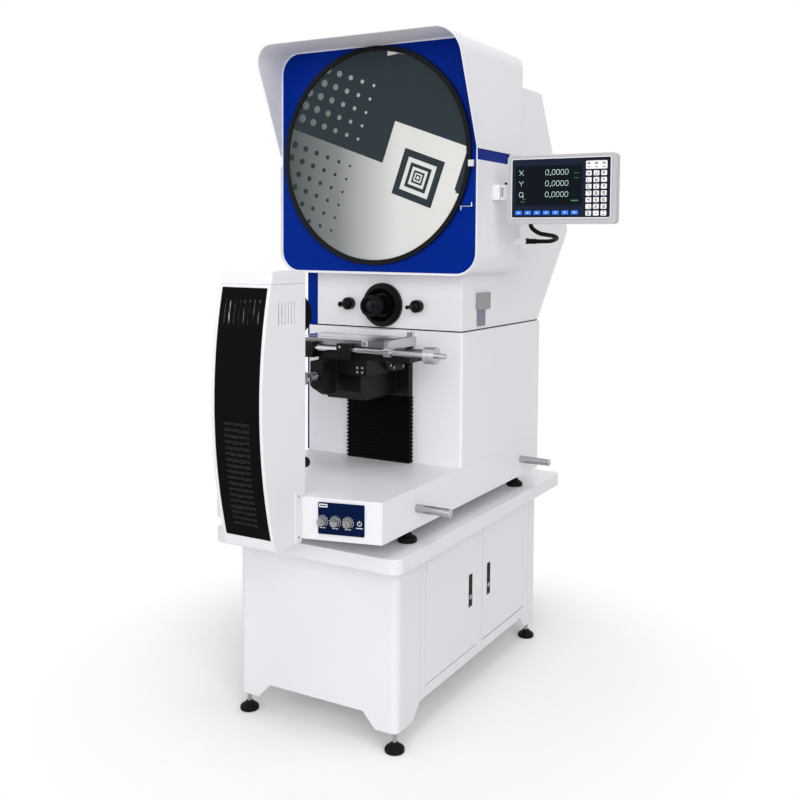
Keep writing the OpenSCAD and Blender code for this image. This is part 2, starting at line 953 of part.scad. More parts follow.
module fascia() {
  color(blue)
    difference() {
      front_plate_of(fascia_y, fascia_y + fascia_t)
        head_front_outline(head_wall);
      y_rod(0, screen_z, fascia_y - 1, fascia_y + fascia_t + 1, 2*spigot_r + 3);
    }
}

module screen_bearing() {
  color(steel)
    difference() {
      y_rod(0, screen_z, fascia_y + fascia_t, fascia_y + fascia_t + 14, ring_d);
      y_rod(0, screen_z, fascia_y, fascia_y + fascia_t + 15, 2*spigot_r + 2*run_gap);
    }
}

module screen_ring() {
  seat = glass_y() - slide_gap/3;
  color(black)
    difference() {
      union() {
        y_rod(0, screen_z, ring_front, fascia_y - slide_gap, ring_d);
        y_rod(0, screen_z, ring_front + 1, fascia_y + fascia_t + 14, 2*spigot_r);
      }
      y_rod(0, screen_z, ring_front - 1, fascia_y + 40, screen_d);
      y_rod(0, screen_z, seat, fascia_y + 40, screen_d + 6);
      translate([0, ring_front, screen_z])
        rotate([90, 0, 0])
          cylinder(d1 = screen_d, d2 = screen_d + 8, h = 2.5, center = true);
    }
}

function glass_y() = ring_front + 5;

module screen_glass() {
  color("#56646a")
    y_rod(0, screen_z, glass_y(), glass_y() + glass_t, screen_d + 6 - 2*run_gap);
}

// Fixed index beside the ring and a wire chart clip with its post
module screen_index() {
  tab_down = 29;
  clip_down = 144;
  tab_z = screen_z - tab_down;
  x = ring_d/2 - 4;
  clip_z = screen_z - clip_down;
  wire = 3;
  color(steel) {
    span([x + 5, ring_front - 3, tab_z - 9], [x + 13, fascia_y, tab_z + 9]);
    span([x - 3, ring_front - 3, tab_z - 9], [x + 5 + e, ring_front - 0.5, tab_z + 9]);
    y_rod(x + 9, clip_z + 2, ring_front - 3, fascia_y, wire + 2);
    x_rod(ring_front - 2.5, clip_z, x - 25, x + 11, wire);
    translate([x + 9, ring_front - 2.5, clip_z - 1])
      cylinder(d = wire, h = 12);
    translate([x - 23, ring_front - 2.5, clip_z - 10])
      cylinder(d = wire, h = 11);
  }
}

// Side outline of the tower with its bulging front, drawn in by an amount
module tower_outline(inset) {
  intersection() {
    union() {
      translate([tower_belly - 10, tower_z + inset])
        square([base_front_mid - inset - tower_belly + 10, tower_top - cap_h - tower_z - 2*inset]);
      translate([tower_belly - 10, base_top + inset])
        square([tower_rear - inset - tower_belly + 10, tower_top - cap_h - base_top - 2*inset]);
    }
    translate([arc_y, belly_z])
      circle(tower_arc - inset, $fn = 180);
  }
}

module tower_shell() {
  strip_y = 24;
  color(white)
    difference() {
      union() {
        difference() {
          side_plate_of(tower_left, tower_right)
            tower_outline(0);
          side_plate_of(tower_left + tower_wall, tower_right - tower_wall)
            tower_outline(tower_wall);
        }
        for (s = [0, 1])
          span([s == 0 ? tower_left - 1.5 : tower_right - e, base_front_mid - strip_y - 3, tower_z],
               [s == 0 ? tower_left + e : tower_right + 1.5, base_front_mid - 3, base_top + 14]);
      }
      span([tower_left + rim_w, tower_belly - 20, tower_z + 28],
           [tower_right - rim_w, tower_belly + 90, tower_top - cap_h - 8]);
      y_rod(0, axis_z, tower_rear - 10, tower_rear + 1, cond_d - 10);
      for (i = [0:5])
        span([tower_left - 1, tower_belly + 64 + i*12.8, axis_z - 18],
             [tower_right + 1, tower_belly + 67.5 + i*12.8, axis_z + 36]);
    }
}

// Curved black front with vertical slots above and hooded louvres below
module tower_front() {
  gap = 0.4;
  thick = 3;
  sunk = 2;
  low = tower_z + 28 + gap;
  high = tower_top - cap_h - 8 - gap;
  pitch = 14.6;
  first = tower_z + 62;
  vents = 8;
  vent_w = 4;
  vent_left = tower_mid - 55;
  vent_z = [axis_z - 16, axis_z + 42];
  color(black)
    difference() {
      union() {
        intersection() {
          span([tower_left + rim_w + gap, tower_belly - 20, low],
               [tower_right - rim_w - gap, tower_belly + 90, high]);
          front_skin(sunk, thick);
        }
        intersection() {
          for (i = [0:louvres - 1])
            x_rod(front_at(first + i*pitch) + sunk + 2.5, first + i*pitch, tower_mid - 38, tower_mid + 38, 9);
          front_skin(sunk - 2, thick + 2);
        }
      }
      for (i = [0:louvres - 1])
        span([tower_mid - 36, tower_belly - 20, first + i*pitch - 5.6],
             [tower_mid + 36, tower_belly + 90, first + i*pitch - 2.6]);
      for (i = [0:vents - 1])
        span([vent_left + i*pitch, tower_belly - 20, vent_z[0]],
             [vent_left + i*pitch + vent_w, tower_rear - tower_wall, vent_z[1]]);
    }
}

// Front of the tower at a height
function front_at(z) = arc_y - sqrt(pow(tower_arc, 2) - pow(z - belly_z, 2));

// Curved skin set back from the tower's front
module front_skin(back, thick) {
  side_plate_of(tower_left, tower_right)
    intersection() {
      difference() {
        translate([arc_y, belly_z])
          circle(tower_arc - back, $fn = 180);
        translate([arc_y, belly_z])
          circle(tower_arc - back - thick, $fn = 180);
      }
      translate([tower_belly - 20, tower_z])
        square([120, tower_top - tower_z]);
    }
}

module tower_cap() {
  z0 = tower_top - cap_h;
  color(white)
    difference() {
      side_plate_of(tower_left, tower_right)
        intersection() {
          translate([tower_belly - 10, z0])
            square([tower_rear - tower_belly + 10, cap_h]);
          translate([arc_y, belly_z])
            circle(tower_arc, $fn = 180);
        }
      span([tower_left + tower_wall, tower_belly + 60, z0 - 1],
           [tower_right - tower_wall, tower_rear - tower_wall, tower_top - tower_wall]);
    }
}

module tower_screws() {
  y = base_front_mid - 15;
  strip_t = 1.5;
  color(steel)
    for (z = [tower_z + 14, base_top + 4]) {
      x_rod(y, z, tower_right + strip_t, tower_right + strip_t + 2, 6);
      x_rod(y, z, tower_left - strip_t - 2, tower_left - strip_t, 6);
    }
}

// Lamp and its finned heat sink on a plate between the tower's side walls
module lamp_unit() {
  front = front_at(axis_z) + 24;
  color(steel)
    union() {
      for (i = [-3:3])
        span([i*11 - 2, front, axis_z - 34], [i*11 + 2, front + 26, axis_z + 34]);
      span([tower_left + tower_wall, front + 26 - e, axis_z - 40],
           [tower_right - tower_wall, front + 32, axis_z + 40]);
      y_rod(0, axis_z, front + 31, front + 62, 30);
    }
}

module condenser_barrel() {
  color(black)
    difference() {
      union() {
        y_rod(0, axis_z, tower_rear, tower_rear + cond_reach, cond_d);
        y_rod(0, axis_z, tower_rear, tower_rear + cond_reach - 8, cond_d + 2);
      }
      y_rod(0, axis_z, tower_rear - 1, tower_rear + cond_reach + 1, cond_d - 16);
      y_rod(0, axis_z, tower_rear + 6, tower_rear + cond_reach - 4, cond_d - 12 + 2*run_gap);
    }
}

// Plano-convex condenser lens held in the barrel's groove
module condenser_glass() {
  r = 90;
  edge = 4;
  d = cond_d - 12;
  back = tower_rear + cond_reach - 5;
  color("#b8d4e0")
    intersection() {
      y_rod(0, axis_z, back - 40, back, d);
      translate([0, back - edge + sqrt(r*r - d*d/4), axis_z])
        sphere(r = r, $fn = 96);
    }
}

module lamp_knob() {
  knob_x = tower_right - 17;
  knob_z = base_top + 77;
  color(black)
    union() {
      y_rod(knob_x, knob_z, tower_rear, tower_rear + 10, 10);
      y_rod(knob_x, knob_z, tower_rear + 9, tower_rear + 26, 26);
    }
}

module lens_barrel() {
  color(black)
    difference() {
      union() {
        y_rod(0, axis_z, lens_front, neck_front + 40, lens_d);
        y_rod(0, axis_z, lens_front + 6, lens_front + 22, lens_d + 6);
        y_rod(0, axis_z, lens_front + 32, lens_front + 42, lens_d + 3);
      }
      y_rod(0, axis_z, lens_front - 1, lens_front + 4, lens_d - 8);
      y_rod(0, axis_z, lens_front + 3, neck_front + 41, lens_d - 14);
    }
}

// Front element, convex towards the work
module lens_glass() {
  d = lens_d - 14 - 2*run_gap;
  r = 48;
  color("#a8c4d4")
    intersection() {
      y_rod(0, axis_z, lens_front + 5, lens_front + 20, d);
      translate([0, lens_front + 6 + r, axis_z])
        sphere(r = r, $fn = 96);
    }
}

// Dovetail profile round a middle, widened by a gap
module dovetail(mid, z0, z1, gap) {
  foot = dove_foot + gap;
  tip = dove_tip + gap;
  polygon([[mid - foot, z0], [mid + foot, z0], [mid + tip, z1], [mid - tip, z1]]);
}

module lift_carriage() {
  chamfer = 26;
  color(black)
    difference() {
      union() {
        side_plate_of(-knee_w/2, knee_w/2)
          polygon([[apron_front + e, knee_z], [knee_front + chamfer, knee_z], [knee_front, knee_z + chamfer],
                   [knee_front, knee_top], [apron_front + e, knee_top]]);
        front_plate_of(knee_front, apron_front + e)
          dovetail(0, knee_top - e, knee_top + knee_dove, 0);
        span([-bellows_x + 3, apron_front, apron_z[0]], [bellows_x - 3, col_front - 2.5, apron_z[1]]);
        span([-truck_x, col_front - 2.5 - e, knee_z + 4], [truck_x, guide_front - slide_gap, knee_top + 5]);
      }
      translate([0, screw_y, knee_z])
        cylinder(d = screw_d + 2*slide_gap, h = 2*(knee_top - knee_z));
    }
}

module lift_screw() {
  color(steel)
    translate([0, screw_y, 0])
      union() {
        translate([0, 0, base_top + 14 + slide_gap])
          cylinder(d = screw_d, h = seam_z - 20 - base_top - 14 - 2*slide_gap);
        translate([0, 0, base_top + slide_gap])
          cylinder(d = screw_d - 4, h = seam_z - 6 - base_top - slide_gap);
      }
}

// Slide on the knee: narrow body, wide top plate, focus drive box and blocks that carry the rod
module cross_slide() {
  body = [-58, 97];
  block_w = 43;
  rear = table_rear - 12;
  screw = 7;
  head = 2;
  color(black)
    difference() {
      union() {
        span([body[0], slide_body, slide_z], [body[1], rear, plate_z + e]);
        span([-plate_w/2, table_front, plate_z], [plate_w/2, rear, slide_top]);
        side_plate_of(-plate_w/2, plate_w/2)
          dovetail(table_mid, slide_top - e, slide_top + slide_dove, 0);
        focus_box();
        lock_plate(body[1]);
        for (x = [-104, 15]) {
          span([x, rod_y - 14, plate_z], [x + block_w, table_front + e, slide_top]);
          span([x, rod_y - 14, slide_top - e], [x + block_w, table_front - 3, rod_z + 17]);
          y_rod(x + 12, rod_z + 8, rod_y - 14 - head, rod_y - 14 + e, screw);
        }
        for (x = [body[1] - 28, body[1] - 13], z = [slide_z + 10, slide_z + 22])
          y_rod(x, z, slide_body - head, slide_body + e, screw);
      }
      front_plate_of(slide_body + 1, apron_front + 60)
        dovetail(0, knee_top - 1, knee_top + knee_dove + slide_gap, slide_gap);
      x_rod(rod_y, rod_z, -plate_w/2, plate_w/2, rod_d + 2*run_gap);
      y_rod(focus_at()[0], focus_at()[1], slide_front - 1, slide_front + 24, 8 + 2*run_gap);
    }
}

// Housing of the focus drive ahead of the slide, with its lower left and lower front edges cut off
module focus_box() {
  left = -40;
  right = 0.5;
  low = knee_z + 24;
  high = plate_z - 3;
  cut = 25;
  nose = 18;
  intersection() {
    front_plate_of(slide_front, slide_body + e)
      polygon([[left, high], [left, low + cut], [left + cut, low], [right, low], [right, high]]);
    side_plate_of(left, right)
      polygon([[slide_front, high], [slide_front, low + nose], [slide_front + nose, low],
               [slide_body + e, low], [slide_body + e, high]]);
  }
}

function focus_at() = [-19, knee_top + 1];

// Clamp plate with three screw heads on the slide's right side
module lock_plate(x) {
  t = 11;
  y = knee_front + 50;
  z = knee_top + 2;
  side_plate_of(x - e, x + t)
    polygon([[y, z + 32], [y + 16, z + 32], [y + 38, z + 21], [y + 108, z + 17], [y + 108, z],
             [y + 40, z], [y + 16, z + 10]]);
  for (p = [[45, 10], [96, 9], [28, 18]])
    x_rod(y + p[0], z + p[1], x + t - e, x + t + 2, 7);
}

// Knob with three collars and a conical grip
module focus_knob() {
  root = slide_front - slide_gap;
  color(steel)
    translate([focus_at()[0], 0, focus_at()[1]])
      union() {
        y_rod(0, 0, root - e, slide_front + 20, 8);
        y_rod(0, 0, root - 36, root, 15);
        for (k = [0:2])
          y_rod(0, 0, root - 8 - k*11, root - 2 - k*11, 22);
        translate([0, root - 34, 0])
          rotate([90, 0, 0])
            cylinder(d1 = 20, d2 = 34, h = 20);
        y_rod(0, 0, root - 64, root - 53, 34);
      }
}

module work_table() {
  half = table_w/2;
  slot = 9;
  stop = [81, 97];
  color(steel)
    difference() {
      union() {
        span([-half, table_front, table_z - table_t], [half, table_rear, table_z]);
        span([-half + 20, table_mid - 56, slide_top + slide_gap],
             [half - 20, table_mid + 56, table_z - table_t + e]);
        span([stop[0], table_front - 2.5, table_z - table_t + 2], [stop[1], table_front + e, table_z - 1]);
      }
      side_plate_of(-table_w, table_w)
        dovetail(table_mid, slide_top - 1, slide_top + slide_dove + slide_gap, slide_gap);
      y_rod((stop[0] + stop[1])/2, table_z - table_t/2, table_front - 4, table_front + 6, 6);
      for (x = [-66, -52, 58, 118])
        y_rod(x, table_z - table_t/2, table_front - 1, table_front + 6, 4);
      for (y = [table_mid - 46, table_mid + 46])
        span([-half - 1, y - slot/2, table_z - 7], [half + 1, y + slot/2, table_z + 1]);
    }
}

// Bright bar along the table's right end, with a stop post and a clamp round the rod
module table_end_block() {
  left = table_w/2;
  low = table_z - table_t - 2;
  color(steel)
    difference() {
      union() {
        round_span([left, table_front, low], [left + 21, table_rear - 36, table_z + 5], 8);
        span([left, table_front, low], [left + 21, table_front + 20, table_z + 5]);
        span([left + 1, table_rear - 60, table_z + 5 - e], [left + 12, table_rear - 44, table_z + 17]);
        translate([left + 16, table_rear - 52, table_z + 5 - e])
          cylinder(d = 8, h = 13);
        x_rod(rod_y, rod_z, left + 8, left + 29, rod_d + 12);
        span([left + 8, rod_y - 4, rod_z + rod_d/2], [left + 21, table_front + e, table_z + 2]);
      }
      x_rod(rod_y, rod_z, left, left + 40, rod_d + 2*slide_gap);
    }
}

// Rod with a hand knob of two discs, a face with three holes and a stub
module traverse_rod() {
  disc = [15, 16.5, 33];
  color(steel)
    difference() {
      union() {
        x_rod(rod_y, rod_z, -112, rod_right + disc[2] + 25, rod_d);
        x_rod(rod_y, rod_z, rod_right, rod_right + disc[0], rod_knob_d);
        x_rod(rod_y, rod_z, rod_right + disc[0] - e, rod_right + disc[1] + e, rod_knob_d - 3);
        x_rod(rod_y, rod_z, rod_right + disc[1], rod_right + disc[2], rod_knob_d);
      }
      for (k = [0:2])
        translate([0, rod_y, rod_z])
          rotate([k*120, 0, 0])
            x_rod(rod_knob_d/3, 0, rod_right + disc[2] - 4, rod_right + disc[2] + 1, 4);
    }
}

// Wall block with two ears round the pan pin
module readout_bracket() {
  z0 = bracket_z - bracket_h/2;
  ear = (bracket_h - lug_h)/2 - slide_gap;
  color(white)
    difference() {
      union() {
        span([head_x, pan[1] - 22, z0], [head_x + pan_x - 13, pan[1] + 22, z0 + bracket_h]);
        for (z = [z0, z0 + bracket_h - ear]) {
          translate([pan[0], pan[1], z])
            cylinder(r = 11, h = ear);
          span([head_x + 1, pan[1] - 11, z], [pan[0], pan[1] + 11, z + ear]);
        }
      }
      translate([pan[0], pan[1], z0 - 1])
        cylinder(d = pan_d + 2*run_gap, h = bracket_h + 2);
    }
}

// Swivel link with its pin and clamp lever, bolted to the back of the readout
module readout_arm() {
  z0 = bracket_z - lug_h/2;
  plate_t = 10;
  color(white)
    union() {
      translate([pan[0], pan[1], z0])
        cylinder(r = 11, h = lug_h);
      span([pan[0], pan[1] - 11, z0], [pan[0] + 26, pan[1] + 11, z0 + lug_h]);
      span([pan[0] + 20, read_y, z0 - 18], [pan[0] + 96, read_y + plate_t, z0 + lug_h + 18]);
      translate([pan[0], pan[1], bracket_z - bracket_h/2 - 3])
        cylinder(d = pan_d, h = bracket_h + 7);
      translate([pan[0], pan[1], bracket_z + bracket_h/2 + slide_gap])
        cylinder(d = 14, h = 6);
      translate([pan[0], pan[1], bracket_z + bracket_h/2 + 4])
        rotate([0, 62, 40])
          cylinder(d = 6, h = 30);
    }
}

// Outline in X and Z between the corners of the readout's face, drawn in by an amount
module face_outline(inset) {
  translate([(face[0] + face[2])/2, (face[1] + face[3])/2])
    round_rect(face[2] - face[0] - 2*inset, face[3] - face[1] - 2*inset, 4);
}

module readout_case() {
  front = read_y - read_t;
  color("#c8c8cc")
    difference() {
      front_plate_of(front, read_y)
        translate([read_x + read_w/2, read_z + read_h/2])
          round_rect(read_w, read_h, 10);
      front_plate_of(front - 1, front + 2)
        face_outline(0);
    }
}

// Key of the face sheet, raised to y
module key(x, z, y, w, h) {
  front_plate_of(y, read_y - read_t + 1)
    translate([x, z])
      round_rect(w, h, 2);
}

// Face sheet with embossed keys: a block and a bar at the right, and a row below the display
module readout_overlay() {
  front = read_y - read_t;
  key_x = read_x + read_w - 33;
  key_z = read_z + 27.5;
  col_pitch = 20.5;
  row_pitch = 17.3;
  soft_pitch = 26.35;
  color("#121a2e")
    union() {
      front_plate_of(front + 0.8, front + 2)
        face_outline(0.3);
      for (c = [0:2], r = [0:6])
        key(key_x - c*col_pitch, key_z + r*row_pitch, front - 0.4, 15.6, 13);
      key(key_x - col_pitch, key_z + 6*row_pitch + 21.2, front - 0.4, 56.6, 20);
      for (i = [0:6])
        key(read_x + 33.9 + i*soft_pitch, read_z + 29.6, front - 0.2, 18.5, 10.5);
    }
}

// Cable route from the back of the readout down and round to the connector
cable_start = [read_x + 51, read_y + 0.2, read_z + 30];
cable_drop = [
  [0, 0, 0], [0, 8, 0], [-1, 15, -6], [-2, 19, -17], [-2, 20, -28], [1, 22, -39], [9, 28, -48],
  [20, 37, -55], [32, 52, -58], [40, 70, -60]
];
cable_end = [
  [81, -77, 13], [78, -57, 10], [69, -37, 7], [56, -19, 4], [41, -7, 1], [25, -1, 0], [12, 0, 0], [0, 0, 0]
];
cable_route = concat([for (p = cable_drop) cable_start + p], [for (p = cable_end) plug + p]);

function unit(v) = v/norm(v);
function along(p, i) = unit(p[min(i + 1, len(p) - 1)] - p[max(i - 1, 0)]);
function across(t) = unit(cross(t, abs(t[2]) < 0.9 ? [0, 0, 1] : [1, 0, 0]));

// Round tube swept along points
module sweep_tube(p, d, sides) {
  n = len(p);
  rings = [for (i = [0:n - 1]) let (t = along(p, i), u = across(t), v = cross(t, u))
    for (k = [0:sides - 1]) p[i] + d/2*(u*cos(k*360/sides) + v*sin(k*360/sides))];
  walls = [for (i = [0:n - 2], k = [0:sides - 1])
    [i*sides + k, i*sides + (k + 1) % sides, (i + 1)*sides + (k + 1) % sides, (i + 1)*sides + k]];
  first = [[for (k = [sides - 1:-1:0]) k]];
  last = [[for (k = [0:sides - 1]) (n - 1)*sides + k]];
  polyhedron(rings, concat(first, walls, last), convexity = 6);
}

module readout_cable() {
  color(black)
    sweep_tube(cable_route, cable_d, 10);
}

// Socket bracket on the head's side with the cable's plug in it
module cable_connector() {
  y = plug[1];
  z = plug[2];
  body = head_x + 32;
  color(white) {
    span([head_x, y - 13, z - 11], [body, y + 13, z + 9]);
    span([body - e, y - 11, z - 11], [plug[0], y + 11, z - 8]);
  }
  color(black)
    union() {
      x_rod(y, z, body, plug[0] - 8, 15);
      x_rod(y, z, plug[0] - 9, plug[0], 13);
    }
}

// Door pan with folded edges, a latch pocket and hinge bores
module door(i) {
  sign = i == 0 ? 1 : -1;
  y0 = i == 0 ? door_open[0] + door_gap : door_edge[1] + door_gap;
  y1 = i == 0 ? door_edge[0] - door_gap : door_open[1] - door_gap;
  z0 = door_z + door_gap;
  z1 = door_top - door_gap;
  sheet = 2;
  hub = 2*hinge_in;
  latch_y = latch_at(i);
  color(white)
    difference() {
      union() {
        difference() {
          span([cab_x - door_t, y0, z0], [cab_x, y1, z1]);
          span([cab_x - door_t - 1, y0 + sheet, z0 + sheet], [cab_x - sheet, y1 - sheet, z1 - sheet]);
        }
        for (z = [z0, z1 - 26])
          translate([cab_x - hub, hinge_y[i] - hinge_in, z])
            cube([hub, hub, 26]);
        span([cab_x - latch_depth - 3, latch_y - latch_w/2 - 3, latch_z - latch_h/2 - 3],
             [cab_x - e, latch_y + latch_w/2 + 3, latch_z + latch_h/2 + 3]);
      }
      span([cab_x - latch_depth, latch_y - latch_w/2, latch_z - latch_h/2],
           [cab_x + 1, latch_y + latch_w/2, latch_z + latch_h/2]);
      y_rod(latch_pivot()[0], latch_pivot()[1], latch_y - latch_w/2 - 2, latch_y + latch_w/2 + 2,
            latch_pin + 2*run_gap);
      translate([hinge_x, hinge_y[i], z0 - 1])
        cylinder(d = hinge_d + 2*run_gap, h = 25);
      translate([hinge_x, hinge_y[i], z1 - 24])
        cylinder(d = hinge_d + 2*run_gap, h = 25);
    }
}

function latch_at(i) = i == 0 ? door_edge[0] - door_gap - latch_in : door_edge[1] + door_gap + latch_in;
function latch_pivot() = [cab_x - 5, latch_z + latch_h/2 - 7];

module door_front() { door(0); }
module door_rear() { door(1); }

// Flush paddle that swings out on stub pins at its upper end, with a round lock below
module latch(i) {
  y = latch_at(i);
  half = latch_w/2 - 1;
  color(black)
    difference() {
      union() {
        span([cab_x - 8, y - half, latch_z - latch_h/2 + 1.5],
             [cab_x - 1, y + half, latch_z + latch_h/2 - 3]);
        y_rod(latch_pivot()[0], latch_pivot()[1], y - latch_w/2 - 1.8, y + latch_w/2 + 1.8, latch_pin);
        x_rod(y, latch_z - latch_h/5, cab_x - 2, cab_x, 14);
      }
      x_rod(y, latch_z - latch_h/5, cab_x - 0.8, cab_x + 1, 9);
    }
}

module latch_front() { latch(0); }
module latch_rear() { latch(1); }

cabinet_shell();
cabinet_floor();
levelling_pads();
levelling_studs();
levelling_nuts();
door_hinge_pins();
table_top();
base_housing();
lift_bars();
control_panel();
column_cover();
flank_trim();
lift_guide();
bellows_lower();
bellows_upper();
mirror_housing();
side_plate();
lens_mount();
light_sockets();
mirrors();
head_frame();
hood_cover();
lower_cover();
fascia();
screen_bearing();
screen_index();
tower_shell();
tower_front();
tower_cap();
tower_screws();
lamp_unit();
condenser_barrel();
condenser_glass();
lamp_knob();
readout_bracket();
readout_cable();
cable_connector();
screen_ring();
screen_glass();
lens_barrel();
lens_glass();
spot_light_left();
spot_light_right();
lift_carriage();
lift_screw();
cross_slide();
focus_knob();
work_table();
table_end_block();
traverse_rod();
readout_case();
readout_overlay();
readout_arm();
panel_knob_1();
panel_knob_2();
panel_knob_3();
door_front();
door_rear();
latch_front();
latch_rear();
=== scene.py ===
import json
import math

import bmesh
import bpy
import numpy as np
from mathutils import Matrix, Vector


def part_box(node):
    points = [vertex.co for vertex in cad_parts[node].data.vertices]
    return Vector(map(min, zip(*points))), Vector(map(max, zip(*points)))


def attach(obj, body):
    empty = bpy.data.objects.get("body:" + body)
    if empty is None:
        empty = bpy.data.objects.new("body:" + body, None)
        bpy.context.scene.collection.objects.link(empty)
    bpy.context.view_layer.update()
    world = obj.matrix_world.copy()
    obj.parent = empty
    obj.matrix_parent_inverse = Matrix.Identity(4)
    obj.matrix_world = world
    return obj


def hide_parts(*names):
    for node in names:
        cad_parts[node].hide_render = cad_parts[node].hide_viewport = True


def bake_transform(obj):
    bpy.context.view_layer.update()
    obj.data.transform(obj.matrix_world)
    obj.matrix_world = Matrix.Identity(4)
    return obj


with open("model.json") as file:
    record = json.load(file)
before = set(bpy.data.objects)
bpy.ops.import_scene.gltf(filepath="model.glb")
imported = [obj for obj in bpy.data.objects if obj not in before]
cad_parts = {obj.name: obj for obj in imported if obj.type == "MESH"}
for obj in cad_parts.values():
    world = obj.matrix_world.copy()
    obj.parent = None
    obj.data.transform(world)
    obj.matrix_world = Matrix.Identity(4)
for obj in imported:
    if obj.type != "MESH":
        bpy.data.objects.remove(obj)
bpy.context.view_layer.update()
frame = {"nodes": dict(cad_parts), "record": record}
mm = 0.001
print("stage: frame loaded,", len(frame["nodes"]), "nodes")


# New node of a kind with its settings, constant inputs and incoming links.
def addNode(tree, kind, settings=None, values=None, links=None):
    made = tree.nodes.new(kind)
    for key, value in (settings or {}).items():
        setattr(made, key, value)
    for key, value in (values or {}).items():
        made.inputs[key].default_value = value
    for key, socket in (links or {}).items():
        tree.links.new(socket, made.inputs[key])
    return made


# Colour scaled by k, kept inside 0 to 1, with alpha 1.
def tone(color, k):
    return [min(1.0, max(0.0, c * k)) for c in color[:3]] + [1.0]


finishBase = {"patch": 4.0, "grain": 900.0, "mottle": 0.03, "vary": 0.06, "bump": 0.08, "metal": 0.0,
              "shine": 0.5, "height": 0.4 * mm, "details": (3.0, 2.0), "noiseSpan": (0.3, 0.7)}


# Finish from object-space noise: broad noise mixes colour (1 - m) and colour (1 + m), fine noise moves the
# roughness by v each way and lifts the surface; stretch draws the fine noise out for brushed metal.
def finish(name, color, rough, **given):
    spec = {**finishBase, **given}
    made = bpy.data.materials.new(name)
    made.use_nodes = True
    tree = made.node_tree
    shader = tree.nodes["Principled BSDF"]
    place = addNode(tree, "ShaderNodeTexCoord").outputs["Object"]
    fineAt = place
    if "stretch" in spec:
        drawn = addNode(tree, "ShaderNodeMapping", values={"Scale": spec["stretch"]},
                        links={"Vector": place})
        fineAt = drawn.outputs[0]
    broadDetail, fineDetail = spec["details"]
    broad = addNode(tree, "ShaderNodeTexNoise", values={"Scale": spec["patch"], "Detail": broadDetail},
                    links={"Vector": place})
    fine = addNode(tree, "ShaderNodeTexNoise", values={"Scale": spec["grain"], "Detail": fineDetail},
                   links={"Vector": fineAt})
    m, v = spec["mottle"], spec["vary"]
    mixed = addNode(tree, "ShaderNodeMix", {"data_type": "RGBA"},
                    {6: tone(color, 1 - m), 7: tone(color, 1 + m)}, {"Factor": broad.outputs["Fac"]})
    low, high = spec["noiseSpan"]
    spread = addNode(tree, "ShaderNodeMapRange",
                     values={"From Min": low, "From Max": high, "To Min": rough - v, "To Max": rough + v},
                     links={"Value": fine.outputs["Fac"]})
    lift = addNode(tree, "ShaderNodeBump", values={"Strength": spec["bump"], "Distance": spec["height"]},
                   links={"Height": fine.outputs["Fac"]})
    tree.links.new(mixed.outputs[2], shader.inputs["Base Color"])
    tree.links.new(spread.outputs[0], shader.inputs["Roughness"])
    tree.links.new(lift.outputs[0], shader.inputs["Normal"])
    shader.inputs["Metallic"].default_value = spec["metal"]
    shader.inputs["Specular IOR Level"].default_value = spec["shine"]
    if "glow" in spec:
        shader.inputs["Emission Color"].default_value = tone(color, 1.0)
        shader.inputs["Emission Strength"].default_value = spec["glow"]
    if "clear" in spec:
        shader.inputs["Transmission Weight"].default_value = spec["clear"]
    return made


white = finish("whitePaint", [0.79, 0.785, 0.82], 0.42, grain=700, bump=0.06, mottle=0.012, shine=0.3)
cream = finish("slabPaint", [0.77, 0.765, 0.80], 0.42, grain=500, bump=0.08, mottle=0.015, shine=0.35)
blue = finish("bluePaint", [0.0, 0.0186, 0.232], 0.38, grain=700, bump=0.06, mottle=0.05, shine=0.03)
black = finish("blackCoat", [0.0025, 0.0025, 0.003], 0.50, grain=1100, bump=0.14, mottle=0.15, shine=0.03)
ringBlack = finish("ringBlack", [0.003, 0.003, 0.004], 0.32, bump=0.05, mottle=0.1, shine=0.10)
satin = finish("satinBlack", [0.002, 0.002, 0.0024], 0.28, bump=0.04, mottle=0.15, shine=0.12)
anodised = finish("anodisedBlack", [0.005, 0.005, 0.0055], 0.36, grain=1000, mottle=0.12, shine=0.12)
# Lighter black for the painted highlight on the tower's louvres and vent walls.
louvreHighlightBlack = finish("louvreHighlightBlack", [0.004, 0.004, 0.0045], 0.34, bump=0.05, mottle=0.1, shine=0.12)
rubber = finish("blackRubber", [0.005, 0.005, 0.0055], 0.62, grain=800, bump=0.2, mottle=0.12, shine=0.10)
cloth = finish("bellowsCloth", [0.0014, 0.0014, 0.0016], 0.60, grain=2600, bump=0.3, mottle=0.15, shine=0.08)
plastic = finish("blackPlastic", [0.004, 0.004, 0.0045], 0.44, grain=1200, bump=0.1, mottle=0.1, shine=0.08)
steel = finish("brightSteel", [0.46, 0.47, 0.49], 0.24, metal=1.0, grain=500, bump=0.03, mottle=0.05,
               stretch=(1, 30, 30))
tableMetal = finish("tableMetal", [0.86, 0.87, 0.88], 0.17, metal=1.0, grain=400, bump=0.03, mottle=0.04,
                    stretch=(1, 40, 40))
# Darker metal for the painted shade on the table's front faces under its bright plate.
edgeShadeMetal = finish("tableEdgeShade", [0.22, 0.225, 0.235], 0.34, metal=1.0, grain=300, bump=0.04, mottle=0.08,
                   stretch=(1, 60, 60))
aluminium = finish("aluminium", [0.70, 0.71, 0.73], 0.32, metal=1.0, grain=700, bump=0.05, mottle=0.05)
knobMetal = finish("knobMetal", [0.34, 0.34, 0.35], 0.30, metal=1.0, grain=700, bump=0.05, mottle=0.06)
glass = finish("clearGlass", [0.70, 0.80, 0.84], 0.05, vary=0.02, bump=0.0, clear=0.9)
lensGlass = finish("coatedLens", [0.004, 0.007, 0.012], 0.06, vary=0.02, bump=0.0, mottle=0.2, shine=0.12)
mirrorFace = finish("mirrorFace", [0.82, 0.84, 0.86], 0.06, vary=0.02, metal=1.0, bump=0.0)
grey = finish("greyPlastic", [0.46, 0.46, 0.48], 0.40, bump=0.07, mottle=0.02)
plateGrey = finish("plateGrey", [0.26, 0.26, 0.27], 0.42, grain=800, mottle=0.04)
